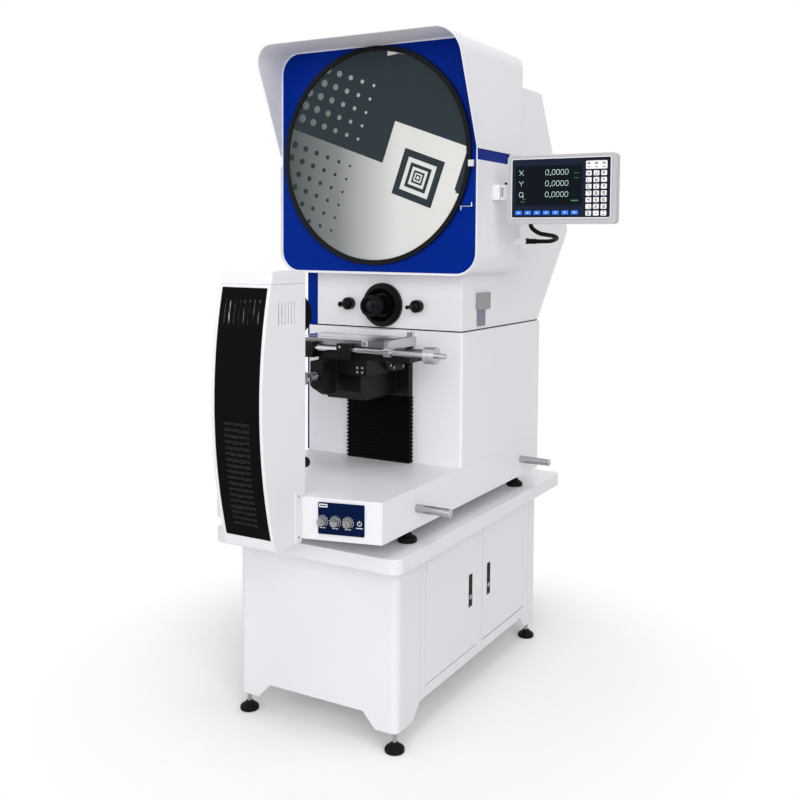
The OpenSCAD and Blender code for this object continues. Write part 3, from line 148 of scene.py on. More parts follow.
plateBlue = finish("plateBlue", [0.145, 0.17, 0.22], 0.40, grain=800, bump=0.06, mottle=0.06)
overlay = finish("faceFilm", [0.005, 0.010, 0.026], 0.24, vary=0.03, bump=0.02, mottle=0.06, shine=0.10)
navy = finish("navyPanel", [0.0006, 0.0068, 0.040], 0.38, bump=0.05, mottle=0.08, shine=0.04)
lcd = finish("displayDark", [0.003, 0.006, 0.010], 0.16, vary=0.02, bump=0.01, mottle=0.2, patch=30,
             shine=0.05)
mint = finish("displayMint", [0.62, 0.86, 0.78], 0.4, glow=0.12, mottle=0.04, patch=200)
green = finish("displayGreen", [0.03, 0.20, 0.06], 0.4, glow=0.4, mottle=0.1, patch=200)
keyWhite = finish("keyWhite", [0.80, 0.80, 0.80], 0.42, grain=1500, bump=0.06, patch=60)
# The blue keys' glow is painted light: they give no light of their own.
keyBlue = finish("keyBlue", [0.005, 0.16, 0.86], 0.34, grain=1500, bump=0.05, mottle=0.05, patch=60,
                 glow=0.15)
printBlack = finish("printBlack", [0.012, 0.012, 0.013], 0.5, grain=1200, mottle=0.1)
print("stage: finishes made")

# Finish, record slot and bevel width in mm of each CAD node's look.
looks = [
    {"material": white, "slot": "white_paint", "width": 2.0,
     "nodes": ["cabinet_shell", "base_housing", "column_cover", "mirror_housing", "tower_shell",
               "tower_cap"]},
    {"material": white, "slot": "white_paint", "width": 1.2,
     "nodes": ["hood_cover", "lower_cover", "cabinet_floor", "door_front", "door_rear", "readout_bracket",
               "readout_arm"]},
    {"material": cream, "slot": "white_paint", "width": 5.0, "nodes": ["table_top"]},
    {"material": blue, "slot": "blue_paint", "width": 1.0, "nodes": ["flank_trim", "head_frame", "fascia"]},
    {"material": anodised, "slot": "black_metal", "width": 1.5, "nodes": ["lift_carriage", "cross_slide"]},
    {"material": black, "slot": "black_metal", "width": 0.8, "nodes": ["condenser_barrel", "tower_front"]},
    {"material": satin, "slot": "black_metal", "width": 0.8,
     "nodes": ["lens_mount", "lens_barrel", "light_sockets", "spot_light_left", "spot_light_right"]},
    {"material": ringBlack, "slot": "black_metal", "width": 0.8, "nodes": ["screen_ring"]},
    {"material": rubber, "slot": "black_rubber", "width": 0.8, "nodes": ["levelling_pads"]},
    {"material": plastic, "slot": "black_plastic", "width": 0.8,
     "nodes": ["latch_front", "latch_rear", "lamp_knob"]},
    {"material": white, "slot": "black_plastic", "width": 0.6, "nodes": ["cable_connector"]},
    {"material": steel, "slot": "bright_steel", "width": 0.6,
     "nodes": ["levelling_studs", "levelling_nuts", "door_hinge_pins", "lift_bars", "lift_guide",
               "lift_screw", "tower_screws", "screen_index", "traverse_rod", "focus_knob",
               "screen_bearing"]},
    {"material": tableMetal, "slot": "aluminium", "width": 0.8, "nodes": ["work_table"]},
    {"material": steel, "slot": "bright_steel", "width": 0.8, "nodes": ["table_end_block"]},
    {"material": aluminium, "slot": "aluminium", "width": 0.5, "nodes": ["lamp_unit"]},
    {"material": knobMetal, "slot": "aluminium", "width": 0.5,
     "nodes": ["panel_knob_1", "panel_knob_2", "panel_knob_3"]},
    {"material": lensGlass, "slot": "clear_glass", "width": 0.3, "nodes": ["lens_glass"]},
    {"material": glass, "slot": "clear_glass", "width": 0.3, "nodes": ["condenser_glass"]},
    {"material": glass, "slot": "screen_glass", "width": 0.3, "nodes": ["screen_glass"]},
    {"material": mirrorFace, "slot": "mirror", "width": 0.5, "nodes": ["mirrors"]},
    {"material": plateGrey, "slot": "grey_plastic", "width": 1.5, "nodes": ["side_plate"]},
    {"material": grey, "slot": "grey_plastic", "width": 4.0, "nodes": ["readout_case"]},
    {"material": overlay, "slot": "dark_overlay", "width": 0.3, "nodes": ["readout_overlay"]},
    {"material": navy, "slot": "navy_panel", "width": 0.6, "nodes": ["control_panel"]},
    {"material": cloth, "slot": "black_rubber", "width": 0.5, "nodes": ["bellows_lower", "bellows_upper"]},
]

# Places of the second finishes in mm, and the share of a normal that counts as facing along an axis.
facingShare = 0.9
connector = {"end": 357.4, "axis": (103.0, 1312.0), "radius": 7.7}
slideScrews = {"side": (108.3, 985.0), "front": (60.0, -356.2), "block": (-20.0, 25.0, -378.2, 1010.0)}
louvre = {"mid": -21.75, "half": 38.2, "belly": (-747.0, 915.0), "arc": 1224.0, "proud": 1.9,
          "ventLow": 1105.0, "ventHalf": 60.0}
armTop = {"above": 0.1}
plateSplit = {"z": 1114.5}
tablePlate = {"proud": 1.0}
lockRing = {"depth": 0.95}


# Round black sleeve at the connector's outer end, which the cable goes into.
def inConnector(x, y, z, n):
    across = np.hypot(y - connector["axis"][0], z - connector["axis"][1])
    return (x > connector["end"]) & (across < connector["radius"])


# Screw heads on the cross slide's clamp plate, front and rod blocks.
def onSlideScrews(x, y, z, n):
    (sideX, sideZ), (frontX, frontY) = slideScrews["side"], slideScrews["front"]
    blockX, blockHalf, blockY, blockZ = slideScrews["block"]
    side = (x > sideX) & (z < sideZ)
    front = (x > frontX) & (y < frontY)
    return side | front | ((np.abs(x - blockX) > blockHalf) & (y < blockY) & (z > blockZ))


# Louvres, less than proud behind the front arc, whose centre is its radius behind the belly, and the walls
# of the upright vents; they get a lighter black than the rest of the front, a painted highlight that picks
# them out.
def onLouvres(x, y, z, n):
    bellyY, bellyZ = louvre["belly"]
    depth = louvre["arc"] - np.hypot(y - bellyY - louvre["arc"], z - bellyZ)
    aside = np.abs(x - louvre["mid"])
    vents = (np.abs(n[:, 0]) > facingShare) & (z > louvre["ventLow"]) & (aside < louvre["ventHalf"])
    return ((depth < louvre["proud"]) & (aside < louvre["half"])) | vents


# Clamp lever and pin above the readout's bracket.
def aboveBracket(x, y, z, n):
    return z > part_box("readout_bracket")[1].z / mm + armTop["above"]


# Outer face of the side plate's lower piece.
def onLowerPlate(x, y, z, n):
    return (z < plateSplit["z"]) & (n[:, 0] > facingShare)


# Front-facing faces of the table behind the bright plate that stands out of them, painted darker as the
# shade under the plate.
def onShadedTableEdge(x, y, z, n):
    return (n[:, 1] < -facingShare) & (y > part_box("work_table")[0].y / mm + tablePlate["proud"])


# Round lock that stands out of a door's paddle.
def onLock(node):
    return lambda x, y, z, n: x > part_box(node)[1].x / mm - lockRing["depth"]


# Second finish on part of a node: where picks faces by their middles in mm and their normals n.
accents = {
    "cable_connector": {"material": plastic, "where": inConnector},
    "readout_arm": {"material": plastic, "where": aboveBracket},
    "cross_slide": {"material": steel, "where": onSlideScrews},
    "tower_front": {"material": louvreHighlightBlack, "where": onLouvres},
    "side_plate": {"material": plateBlue, "where": onLowerPlate},
    "work_table": {"material": edgeShadeMetal, "where": onShadedTableEdge},
    "latch_front": {"material": steel, "where": onLock("latch_front")},
    "latch_rear": {"material": steel, "where": onLock("latch_rear")},
}


# New object for data, linked to the scene.
def added(name, data):
    made = bpy.data.objects.new(name, data)
    bpy.context.scene.collection.objects.link(made)
    return made


# Values of a mesh collection as an array, one row for each item where width is over 1.
def pulled(items, key, width=1, kind=np.float32):
    flat = np.zeros(len(items) * width, kind)
    items.foreach_get(key, flat)
    return flat.reshape(-1, width) if width > 1 else flat


# Angle at each edge from the normals of its two faces; edges with another number of faces count as flat.
def edgeAngles(mesh):
    loops = pulled(mesh.loops, "edge_index", kind=np.int32)
    sizes = pulled(mesh.polygons, "loop_total", kind=np.int32)
    normals = pulled(mesh.polygons, "normal", 3)
    owner = np.repeat(np.arange(len(sizes)), sizes)
    order = np.argsort(loops, kind="stable")
    counts = np.bincount(loops, minlength=len(mesh.edges))
    first = np.concatenate([[0], np.cumsum(counts)[:-1]])
    pair = np.flatnonzero(counts == 2)
    a = owner[order[first[pair]]]
    b = owner[order[first[pair] + 1]]
    angles = np.zeros(len(mesh.edges))
    angles[pair] = np.arccos(np.clip((normals[a] * normals[b]).sum(1), -1, 1))
    return angles


soft = {"merge": 0.02 * mm, "flat": math.radians(0.4), "sharp": math.radians(28), "share": 0.4,
        "least": 0.02, "segments": 3, "areaWeight": 50}


# Copy of a CAD node with merged points and flat faces joined; sharp edges get a bevel weight
# min(1, share L / width), where L is the shortest edge that meets either end, so that small rims keep
# small bevels.
def softCopy(node, look):
    mesh = frame["nodes"][node].data.copy()
    mesh.materials.clear()
    tidy = bmesh.new()
    tidy.from_mesh(mesh)
    bmesh.ops.remove_doubles(tidy, verts=tidy.verts, dist=soft["merge"])
    bmesh.ops.dissolve_limit(tidy, angle_limit=soft["flat"], verts=tidy.verts, edges=tidy.edges)
    tidy.to_mesh(mesh)
    tidy.free()
    ends = pulled(mesh.edges, "vertices", 2, np.int32)
    points = pulled(mesh.vertices, "co", 3)
    lengths = np.linalg.norm(points[ends[:, 0]] - points[ends[:, 1]], axis=1)
    shortest = np.full(len(points), 1.0)
    np.minimum.at(shortest, ends[:, 0], lengths)
    np.minimum.at(shortest, ends[:, 1], lengths)
    room = np.minimum(shortest[ends[:, 0]], shortest[ends[:, 1]])
    sharp = edgeAngles(mesh) > soft["sharp"]
    width = look["width"] * mm
    weight = np.where(sharp, np.clip(soft["share"] * room / width, 0, 1), 0)
    store = mesh.attributes.new("bevel_weight_edge", "FLOAT", "EDGE")
    store.data.foreach_set("value", weight.astype(np.float32))
    crease = mesh.attributes.get("sharp_edge") or mesh.attributes.new("sharp_edge", "BOOLEAN", "EDGE")
    crease.data.foreach_set("value", sharp & (weight < soft["least"]))
    mesh.polygons.foreach_set("use_smooth", np.ones(len(mesh.polygons), bool))
    mesh.materials.append(look["material"])
    if node in accents:
        mesh.materials.append(accents[node]["material"])
        middles = pulled(mesh.polygons, "center", 3) / mm
        chosen = accents[node]["where"](*middles.T, pulled(mesh.polygons, "normal", 3))
        mesh.polygons.foreach_set("material_index", chosen.astype(np.int32))
    made = added(node + "Look", mesh)
    bevel = made.modifiers.new("softEdges", "BEVEL")
    bevel.width = width
    bevel.segments = soft["segments"]
    bevel.limit_method = "WEIGHT"
    bevel.use_clamp_overlap = False
    bevel.harden_normals = True
    level = made.modifiers.new("flatFaces", "WEIGHTED_NORMAL")
    level.mode = "FACE_AREA"
    level.weight = soft["areaWeight"]
    level.keep_sharp = True
    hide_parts(node)
    return made


bodyOf = {n: body for body, names in frame["record"]["behaviour"]["bodies"].items() for n in names}
shown = {}
for look in looks:
    for node in look["nodes"]:
        shown[node] = softCopy(node, look)
        if node == "bellows_lower":
            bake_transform(shown[node])
        elif node == "bellows_upper":
            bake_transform(shown[node])
        else:
            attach(shown[node], bodyOf[node])
print("stage: node looks made,", len(shown))


# Object from points and faces with one finish, on a body where one is named.
def piece(name, points, faces, body, material, smooth=True):
    mesh = bpy.data.meshes.new(name)
    corners = np.asarray(points, float).reshape(-1, 3).tolist()
    mesh.from_pydata(corners, [], [list(map(int, f)) for f in faces])
    mesh.polygons.foreach_set("use_smooth", np.full(len(mesh.polygons), smooth))
    mesh.materials.append(material)
    mesh.update()
    made = added(name, mesh)
    if body:
        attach(made, body)
    return made


# Quads between nu loops of nv points each, closed round the loops and facing out.
def loopFaces(nu, nv, start=0):
    u, v = np.meshgrid(np.arange(nu - 1), np.arange(nv), indexing="ij")
    after = (v + 1) % nv
    quads = np.stack([u * nv + v, u * nv + after, (u + 1) * nv + after, (u + 1) * nv + v], -1)
    return (quads.reshape(-1, 4) + start).tolist()


# Smooth curve through points: a Catmull-Rom spline with n steps to each span.
def spline(points, n):
    p = np.asarray(points, float)
    p = np.vstack([2 * p[0] - p[1], p, 2 * p[-1] - p[-2]])
    t = np.linspace(0, 1, n, endpoint=False)[None, :, None]
    a, b, c, d = (p[i:len(p) - 3 + i][:, None, :] for i in range(4))
    square, cube = 2 * a - 5 * b + 4 * c - d, 3 * b - a - 3 * c + d
    curve = 0.5 * (2 * b + (c - a) * t + square * t ** 2 + cube * t ** 3)
    return np.vstack([curve.reshape(-1, 3), p[-2]])


# Rings of radius r round a path: r (cos k u + sin k w), with u and w across the path's direction.
def tube(path, radius, sides, aside):
    t = np.gradient(path, axis=0)
    t /= np.linalg.norm(t, axis=1)[:, None]
    u = np.cross(t, aside)
    u /= np.linalg.norm(u, axis=1)[:, None]
    w = np.cross(t, u)
    k = np.linspace(0, 2 * np.pi, sides, endpoint=False)[None, :, None]
    return path[:, None, :] + radius * (np.cos(k) * u[:, None, :] + np.sin(k) * w[:, None, :])


cable = {"name": "readoutCable", "slot": "black_rubber", "radius": 6.0 * mm, "steps": 8, "sides": 20,
         "aside": (0.0, 0.31, 0.95),
         "route": [[430, -63.8, 1388], [430, -55.8, 1388], [429, -48.8, 1382], [428, -44.8, 1371],
                   [428, -43.8, 1360], [431, -41.8, 1349], [439, -35.8, 1340], [450, -26.8, 1333],
                   [462, -11.8, 1330], [470, 6.2, 1328], [473, 26, 1325], [470, 46, 1322], [461, 66, 1319],
                   [448, 84, 1316], [433, 96, 1313], [417, 102, 1312], [404, 103, 1312], [392, 103, 1312]]}
cablePath = spline(np.array(cable["route"]) * mm, cable["steps"])
cableRings = tube(cablePath, cable["radius"], cable["sides"], cable["aside"])
cableFaces = loopFaces(len(cablePath), cable["sides"])
cablePiece = piece(cable["name"], cableRings, cableFaces, None, rubber)
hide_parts("readout_cable")
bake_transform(cablePiece)
print("stage: cable made")

# Painted projected image on the ground glass: the light and shadow of the projector's beam drawn as flat
# shapes, in mm from its middle.
# Edge is the line between dark and light, cell and corner are (left, right, top) of the bright square and of
# the dark patch on the rim. Dots lie in columns (first, pitch, count); lightDots and darkDots give (first
# row, pitch, rows, radius in the first column, growth).
projectedImage = {"body": "screen_rotor", "slot": "screen_glass", "angle": math.radians(-19.5), "y": -167.3,
         "z": 1548.0, "radius": 292.5, "edge": -8.5, "cell": (34.0, 275.0, 113.0),
         "corner": (280.0, 420.0, 60.0), "cornerLow": -14.0,
         "columns": (-66.0, -41.0, 6), "lightDots": (30.0, 39.0, 5, 4.3, 1.5),
         "darkDots": (-50.0, -39.0, 6, 4.0, 1.2), "dotMargin": 6.0, "nest": (156.5, -12.8),
         "halves": (66.0, 46.5, 34.5, 25.0, 17.5, 12.0, 8.0, 4.0),
         "flag": ((43.5, 298.4), (43.6, 276.0), (103.8, 283.2)),
         "lifts": {"disc": 0.0, "corner": 0.3, "lower": 0.15, "cell": 0.2, "dots": 0.35, "nestStep": 0.05}}
groundGlass = {"grain": 1600.0, "detail": 2.0, "span": (-0.30, 0.26), "dust": 0.10, "rough": 0.45,
               "shine": 0.06}


# Painted projected light on the ground glass: colour stops from left to right under a fine grain, which also
# glow; the light one darkens to the left as painted falloff of the light.
def projectedImageFinish(stops, glow):
    made = bpy.data.materials.new("groundGlass")
    made.use_nodes = True
    tree = made.node_tree
    shader = tree.nodes["Principled BSDF"]
    place = addNode(tree, "ShaderNodeTexCoord").outputs["Object"]
    split = addNode(tree, "ShaderNodeSeparateXYZ", links={"Vector": place})
    grain = addNode(tree, "ShaderNodeTexNoise",
                    values={"Scale": groundGlass["grain"], "Detail": groundGlass["detail"]},
                    links={"Vector": place})
    left, right = groundGlass["span"]
    along = addNode(tree, "ShaderNodeMapRange", values={"From Min": left, "From Max": right},
                    links={"Value": split.outputs["X"]})
    fade = addNode(tree, "ShaderNodeValToRGB", links={"Fac": along.outputs[0]})
    fade.color_ramp.elements[0].color = stops[0][1]
    fade.color_ramp.elements[1].color = stops[-1][1]
    for at, color in stops[1:-1]:
        fade.color_ramp.elements.new(at).color = color
    dust = addNode(tree, "ShaderNodeMix", {"data_type": "RGBA", "blend_type": "MULTIPLY"},
                   {"Factor": groundGlass["dust"]}, {6: fade.outputs[0], 7: grain.outputs["Color"]})
    tree.links.new(dust.outputs[2], shader.inputs["Base Color"])
    tree.links.new(dust.outputs[2], shader.inputs["Emission Color"])
    shader.inputs["Emission Strength"].default_value = glow
    shader.inputs["Roughness"].default_value = groundGlass["rough"]
    shader.inputs["Specular IOR Level"].default_value = groundGlass["shine"]
    return made


# Painted shadow and painted light of the projected image; both glow.
projectedShadow = projectedImageFinish([(0.0, (0.024, 0.035, 0.041, 1)), (1.0, (0.026, 0.037, 0.044, 1))], 0.05)
projectedLight = projectedImageFinish([(0.0, (0.055, 0.067, 0.067, 1)), (0.32, (0.175, 0.185, 0.185, 1)),
                          (0.68, (0.57, 0.575, 0.555, 1)), (1.0, (0.60, 0.60, 0.58, 1))], 0.25)


# Outline inside the disc: points are drawn in to the rim where they pass it.
def inDisc(points, r):
    p = np.asarray(points, float)
    d = np.linalg.norm(p, axis=1)
    return p * np.minimum(1, r / np.maximum(d, 1e-9))[:, None]


# Closed outline through corners, each side in n steps, so that its points can follow the rim.
def outline(corners, n=60):
    p = np.asarray(corners, float)[:, None, :]
    t = np.linspace(0, 1, n, endpoint=False)[None, :, None]
    return (p * (1 - t) + np.roll(p, -1, 0) * t).reshape(-1, 2)


# Corners of a rectangle, counterclockwise from the lower left.
def rectangle(left, low, right, high):
    return [(left, low), (right, low), (right, high), (left, high)]


# Points of a circle of radius 1 from one angle to another.
def circle(n, start=0.0, stop=2 * np.pi, closed=True):
    k = np.linspace(start, stop, n, endpoint=not closed)
    return np.stack([np.cos(k), np.sin(k)], 1)


# Flat shapes of the painted projected image in its turned plane, each set forward by a lift in mm.
def projectedShapes(name, shapes, material):
    c, s = math.cos(projectedImage["angle"]), math.sin(projectedImage["angle"])
    points, faces = [], []
    for shape, lift in shapes:
        p = np.asarray(shape, float)
        x = p[:, 0] * c - p[:, 1] * s
        z = p[:, 0] * s + p[:, 1] * c
        faces.append(np.arange(len(p)) + sum(len(q) for q in points))
        points.append(np.stack([x, np.full(len(p), projectedImage["y"] - lift), z + projectedImage["z"]], 1) * mm)
    return piece(name, np.vstack(points), faces, projectedImage["body"], material, smooth=False)


disc = circle(180)
dot = disc[::6]
rim, edge, lifts = projectedImage["radius"], projectedImage["edge"], projectedImage["lifts"]
rimTurn = math.asin(edge / rim)
lower = circle(160, np.pi - rimTurn, 2 * np.pi + rimTurn, closed=False) * rim
cellLeft, cellRight, cellTop = projectedImage["cell"]
cell = inDisc(outline(rectangle(cellLeft, edge, cellRight, cellTop)), rim)
patchLeft, patchRight, patchTop = projectedImage["corner"]
patch = inDisc(outline(rectangle(patchLeft, projectedImage["cornerLow"], patchRight, patchTop)), rim)
turnCos, turnSin = math.cos(projectedImage["angle"]), math.sin(projectedImage["angle"])
upright = np.array([[turnCos, -turnSin], [turnSin, turnCos]])
flag = inDisc(outline(np.array(projectedImage["flag"]) @ upright), rim)
darkShapes = [(disc * rim, lifts["disc"]), (patch, lifts["corner"])]
lightShapes = [(lower, lifts["lower"]), (cell, lifts["cell"]), (flag, lifts["cell"])]
firstColumn, columnPitch, columns = projectedImage["columns"]
for shapes, dots in ((lightShapes, projectedImage["lightDots"]), (darkShapes, projectedImage["darkDots"])):
    firstRow, rowPitch, rows, radius, growth = dots
    for k in range(columns):
        for j in range(rows):
            at = np.array([firstColumn + columnPitch * k, firstRow + rowPitch * j])
            if np.linalg.norm(at) < rim + projectedImage["dotMargin"]:
                shapes.append((inDisc(dot * (radius + growth * k) + at, rim), lifts["dots"]))
for i, half in enumerate(projectedImage["halves"]):
    square = np.array(rectangle(-half, -half, half, half)) + projectedImage["nest"]
    (lightShapes if i % 2 else darkShapes).append((square, lifts["dots"] + lifts["nestStep"] * i))
projectedShapes("projectedShadow", darkShapes, projectedShadow)
projectedShapes("projectedLight", lightShapes, projectedLight)
print("stage: chart made")


# Stroke from a to b as a flat bar of half width h, a little longer than its ends.
def stroke(a, b, h, past=0.4):
    a, b = np.asarray(a, float), np.asarray(b, float)
    d = (b - a) / np.linalg.norm(b - a)
    n, e = np.array([-d[1], d[0]]) * h, d * h * past
    return np.array([a - n - e, b - n + e, b + n + e, a + n - e])


# Oval ring of half axes a, b and stroke w as quads between two loops; power under 1 squares it off.
def oval(centre, a, b, w, n=28, power=0.75):
    c, s = circle(n).T
    out = np.stack([np.sign(c) * np.abs(c) ** power * a, np.sign(s) * np.abs(s) ** power * b], 1)
    inn = out * [(a - w) / a, (b - w) / b]
    return between(inn + np.asarray(centre), out + np.asarray(centre))


# Quads between two outlines with the same number of points.
def between(inner, outer):
    return list(np.stack([inner, outer, np.roll(outer, -1, 0), np.roll(inner, -1, 0)], 1))


# Points origin + u right + w up + lift out of a plane, where out is right x up; mm in, metres out.
def onPlane(plane, flat, lift):
    right, up = np.array(plane["right"], float), np.array([0.0, 0.0, 1.0])
    flat = np.asarray(flat, float)
    out = lift * np.cross(right, up)
    return (np.array(plane["origin"]) + flat[:, :1] * right + flat[:, 1:] * up + out) * mm


# Flat shapes on a plane, joined in one piece.
def facing(name, outlines, plane, lift, material):
    sizes = [len(o) for o in outlines]
    starts = np.concatenate([[0], np.cumsum(sizes)[:-1]])
    faces = [np.arange(n) + at for n, at in zip(sizes, starts)]
    points = onPlane(plane, np.vstack(outlines), lift)
    return piece(name, points, faces, plane["body"], material, smooth=False)


# Outline of a rounded rectangle: straight sides and quarter circles of radius r.
def roundRect(cx, cz, w, h, r, n=6):
    arc = circle(n, 0.0, np.pi / 2, closed=False) * r
    sides = [(1, 1, arc), (-1, 1, arc[::-1] * [-1, 1]), (-1, -1, arc * [-1, -1]),
             (1, -1, arc[::-1] * [1, -1])]
    return np.vstack([a + [sx * (w / 2 - r), sz * (h / 2 - r)] for sx, sz, a in sides]) + [cx, cz]


# Pads that stand out of a plane: a rim up to a share of the rise, and a top that is drawn in by inset.
def pads(name, outlines, plane, lift, rise, material, inset=0.9, rimShare=0.6):
    points, faces, start = [], [], 0
    for o in outlines:
        o = np.asarray(o, float)
        c = o.mean(0)
        n = len(o)
        top = c + (o - c) * (1 - inset / np.abs(o - c).max(0))
        points += [onPlane(plane, o, lift), onPlane(plane, o, lift + rise * rimShare)]
        points.append(onPlane(plane, top, lift + rise))
        faces += loopFaces(3, n, start=start)
        faces.append((np.arange(n) + start + 2 * n).tolist())
        start += 3 * n
    return piece(name, np.vstack(points), faces, plane["body"], material, smooth=False)


# Quads of an arc from angle a0 to a1 between radii r0 and r1; angle 0 points up and grows to the right.
def arcStrip(centre, r0, r1, a0, a1, n=24):
    k = np.radians(np.linspace(a0, a1, n + 1))
    ray = np.stack([np.sin(k), np.cos(k)], 1)
    quads = np.stack([ray[:-1] * r0, ray[1:] * r0, ray[1:] * r1, ray[:-1] * r1], 1)
    return list(quads + np.asarray(centre))


# Numeral of up to seven strokes in a box of w by h: each letter of its pattern is one stroke.
def numeral(pattern, centre, w, h, thick):
    x, z = w / 2, h / 2
    ends = {"a": ((-x, z), (x, z)), "b": ((x, z), (x, 0)), "c": ((x, 0), (x, -z)), "d": ((-x, -z), (x, -z)),
            "e": ((-x, -z), (-x, 0)), "f": ((-x, 0), (-x, z)), "g": ((-x, 0), (x, 0))}
    return [stroke(np.add(ends[k][0], centre), np.add(ends[k][1], centre), thick) for k in pattern]


# Display: a screen (left, right, low, high), a letter and five zeros in each row, and small dashes, each
# group of them (first, pitch, count, length, height, half width).
display = {"body": "readout", "slot": "dark_overlay", "origin": (0.0, -92.0, 0.0), "right": (1.0, 0.0, 0.0),
           "screen": (404.0, 588.5, 1407.0, 1512.0), "rows": (1494.3, 1465.0, 1436.0),
           "letters": (413.7, 426.0), "letterHalf": 6.6, "letterStroke": 0.5,
           "letterShapes": ([((0, -1), (1, 1)), ((0, 1), (1, -1))],
                            [((0, 1), (0.5, 0)), ((1, 1), (0.5, 0)), ((0.5, 0), (0.5, -1))]),
           "round": (6.0, 6.6, 0.95), "tail": ((1.5, -2.6), (1.0, -1.3), 0.6),
           "digits": (487.0, 557.0), "cells": 5.35, "digitInset": 6.5, "squeeze": 0.93, "afterPoint": 1.5,
           "zero": (4.8, 7.1, 0.85), "slant": 0.08, "point": (0.72, -7.2, 2.6, 1.2),
           "dashes": ((569, 5, 3, 3, 1491, 0.6), (569, 5, 3, 3, 1478, 0.6), (424, 0, 1, 8, 1424, 0.6),
                      (418, 0, 1, 12, 1417, 0.6), (562, 4, 5, 2.5, 1419, 1.4)),
           "glassLift": 0.45, "markLift": 0.6, "screenRadius": 2.0}
left, right, low, high = display["screen"]
screenOutline = roundRect((left + right) / 2, (low + high) / 2, right - left, high - low,
                          display["screenRadius"])
facing("displayGlass", [screenOutline], display, display["glassLift"], lcd)
marks = []
x0, x1 = display["letters"]
mid, half = (x0 + x1) / 2, display["letterHalf"]
digitPitch = (display["digits"][1] - display["digits"][0]) / display["cells"]
firstDigit = display["digits"][0] + display["digitInset"]
laterDigits = [firstDigit + digitPitch * (display["afterPoint"] + j) * display["squeeze"] for j in range(4)]
tailFrom, tailTo, tailStroke = display["tail"]
pointAt, pointDrop, pointSize, pointRadius = display["point"]
for i, row in enumerate(display["rows"]):
    if i < len(display["letterShapes"]):
        for a, b in display["letterShapes"][i]:
            ends = [(x0 + (x1 - x0) * u, row + half * w) for u, w in (a, b)]
            marks.append(stroke(*ends, display["letterStroke"]))
    else:
        marks += oval((mid, row), *display["round"])
        marks.append(stroke((mid + tailFrom[0], row + tailFrom[1]), (x1 + tailTo[0], row - half + tailTo[1]),
                            tailStroke))
    for spot in [firstDigit] + laterDigits:
        zero = oval((spot, row), *display["zero"])
        marks += [o + (o[:, 1:] - row) * [display["slant"], 0.0] for o in zero]
    pointX = firstDigit + digitPitch * pointAt
    marks.append(roundRect(pointX, row + pointDrop, pointSize, pointSize, pointRadius))
facing("displayDigits", marks, display, display["markLift"], mint)
dashes = [stroke((first + pitch * i, z), (first + pitch * i + length, z), thick)
          for first, pitch, count, length, z, thick in display["dashes"] for i in range(count)]
facing("displaySmall", dashes, display, display["markLift"], green)

# Blue keys in a row below the display, with a mark on each (drop, inner and outer radius, turn, steps).
softKeys = {"first": 412.9, "pitch": 26.35, "count": 7, "z": 1387.6, "size": (18.5, 10.5), "corner": 1.2,
            "lift": -0.6, "rise": 1.6, "mark": (-1.4, 0.6, 3.4, 70, 8), "markLift": 1.05}
softAt = [(softKeys["first"] + softKeys["pitch"] * i, softKeys["z"]) for i in range(softKeys["count"])]
softOutlines = [roundRect(x, z, *softKeys["size"], softKeys["corner"]) for x, z in softAt]
pads("softKeys", softOutlines, display, softKeys["lift"], softKeys["rise"], keyBlue)
markDrop, markIn, markOut, markTurn, markSteps = softKeys["mark"]
softMarks = [arcStrip((x, z + markDrop), markIn, markOut, -markTurn, markTurn, markSteps) for x, z in softAt]
facing("softMarks", sum(softMarks, []), display, softKeys["markLift"], keyWhite)

# White keys: a field of 3 by 7 with a numeral on each, and a bar above them with an arc over each column.
keys = {"first": (609.0, 1385.5), "pitch": (20.5, 17.3), "count": (3, 7), "size": (15.6, 13.0),
        "corner": 2.4, "barZ": 1510.5, "barSize": (57.6, 21.4), "barCorner": 3.0, "lift": -0.6, "rise": 1.7,
        "markLift": 1.15, "numeral": (4.8, 7.0, 0.75), "arc": (3.0, 1.4, 4.0, 120, 10),
        "dash": (3.0, -5.0, 0.9),
        "numerals": ("abcdef", "g", "ad", "bc", "abged", "abgcd", "fgbc", "afgcd", "afgedc", "abc",
                     "abcdefg", "abcdfg", "afed", "adg", "abfg", "fed", "fbcdeg", "afg", "efbcg", "bcde",
                     "abefg")}
keyColumns = [keys["first"][0] + keys["pitch"][0] * i for i in range(keys["count"][0])]
keyRows = [keys["first"][1] + keys["pitch"][1] * j for j in range(keys["count"][1])]
keyAt = [(x, z) for z in keyRows for x in keyColumns]
keyOutlines = [roundRect(x, z, *keys["size"], keys["corner"]) for x, z in keyAt]
keyOutlines.append(roundRect(keyColumns[1], keys["barZ"], *keys["barSize"], keys["barCorner"]))
pads("keyPads", keyOutlines, display, keys["lift"], keys["rise"], keyWhite)
keyMarks = sum([numeral(shape, at, *keys["numeral"]) for shape, at in zip(keys["numerals"], keyAt)], [])
arcUp, arcIn, arcOut, arcTurn, arcSteps = keys["arc"]
dashHalf, dashDown, dashStroke = keys["dash"]
for x in keyColumns:
    keyMarks += arcStrip((x, keys["barZ"] + arcUp), arcIn, arcOut, -arcTurn, arcTurn, arcSteps)
    dashZ = keys["barZ"] + dashDown
    keyMarks.append(stroke((x - dashHalf, dashZ), (x + dashHalf, dashZ), dashStroke))
facing("keyMarks", keyMarks, display, keys["markLift"], printBlack)


# Lowest and highest corner of a node in mm.
def corners(node):
    return [np.array(corner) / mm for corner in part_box(node)]


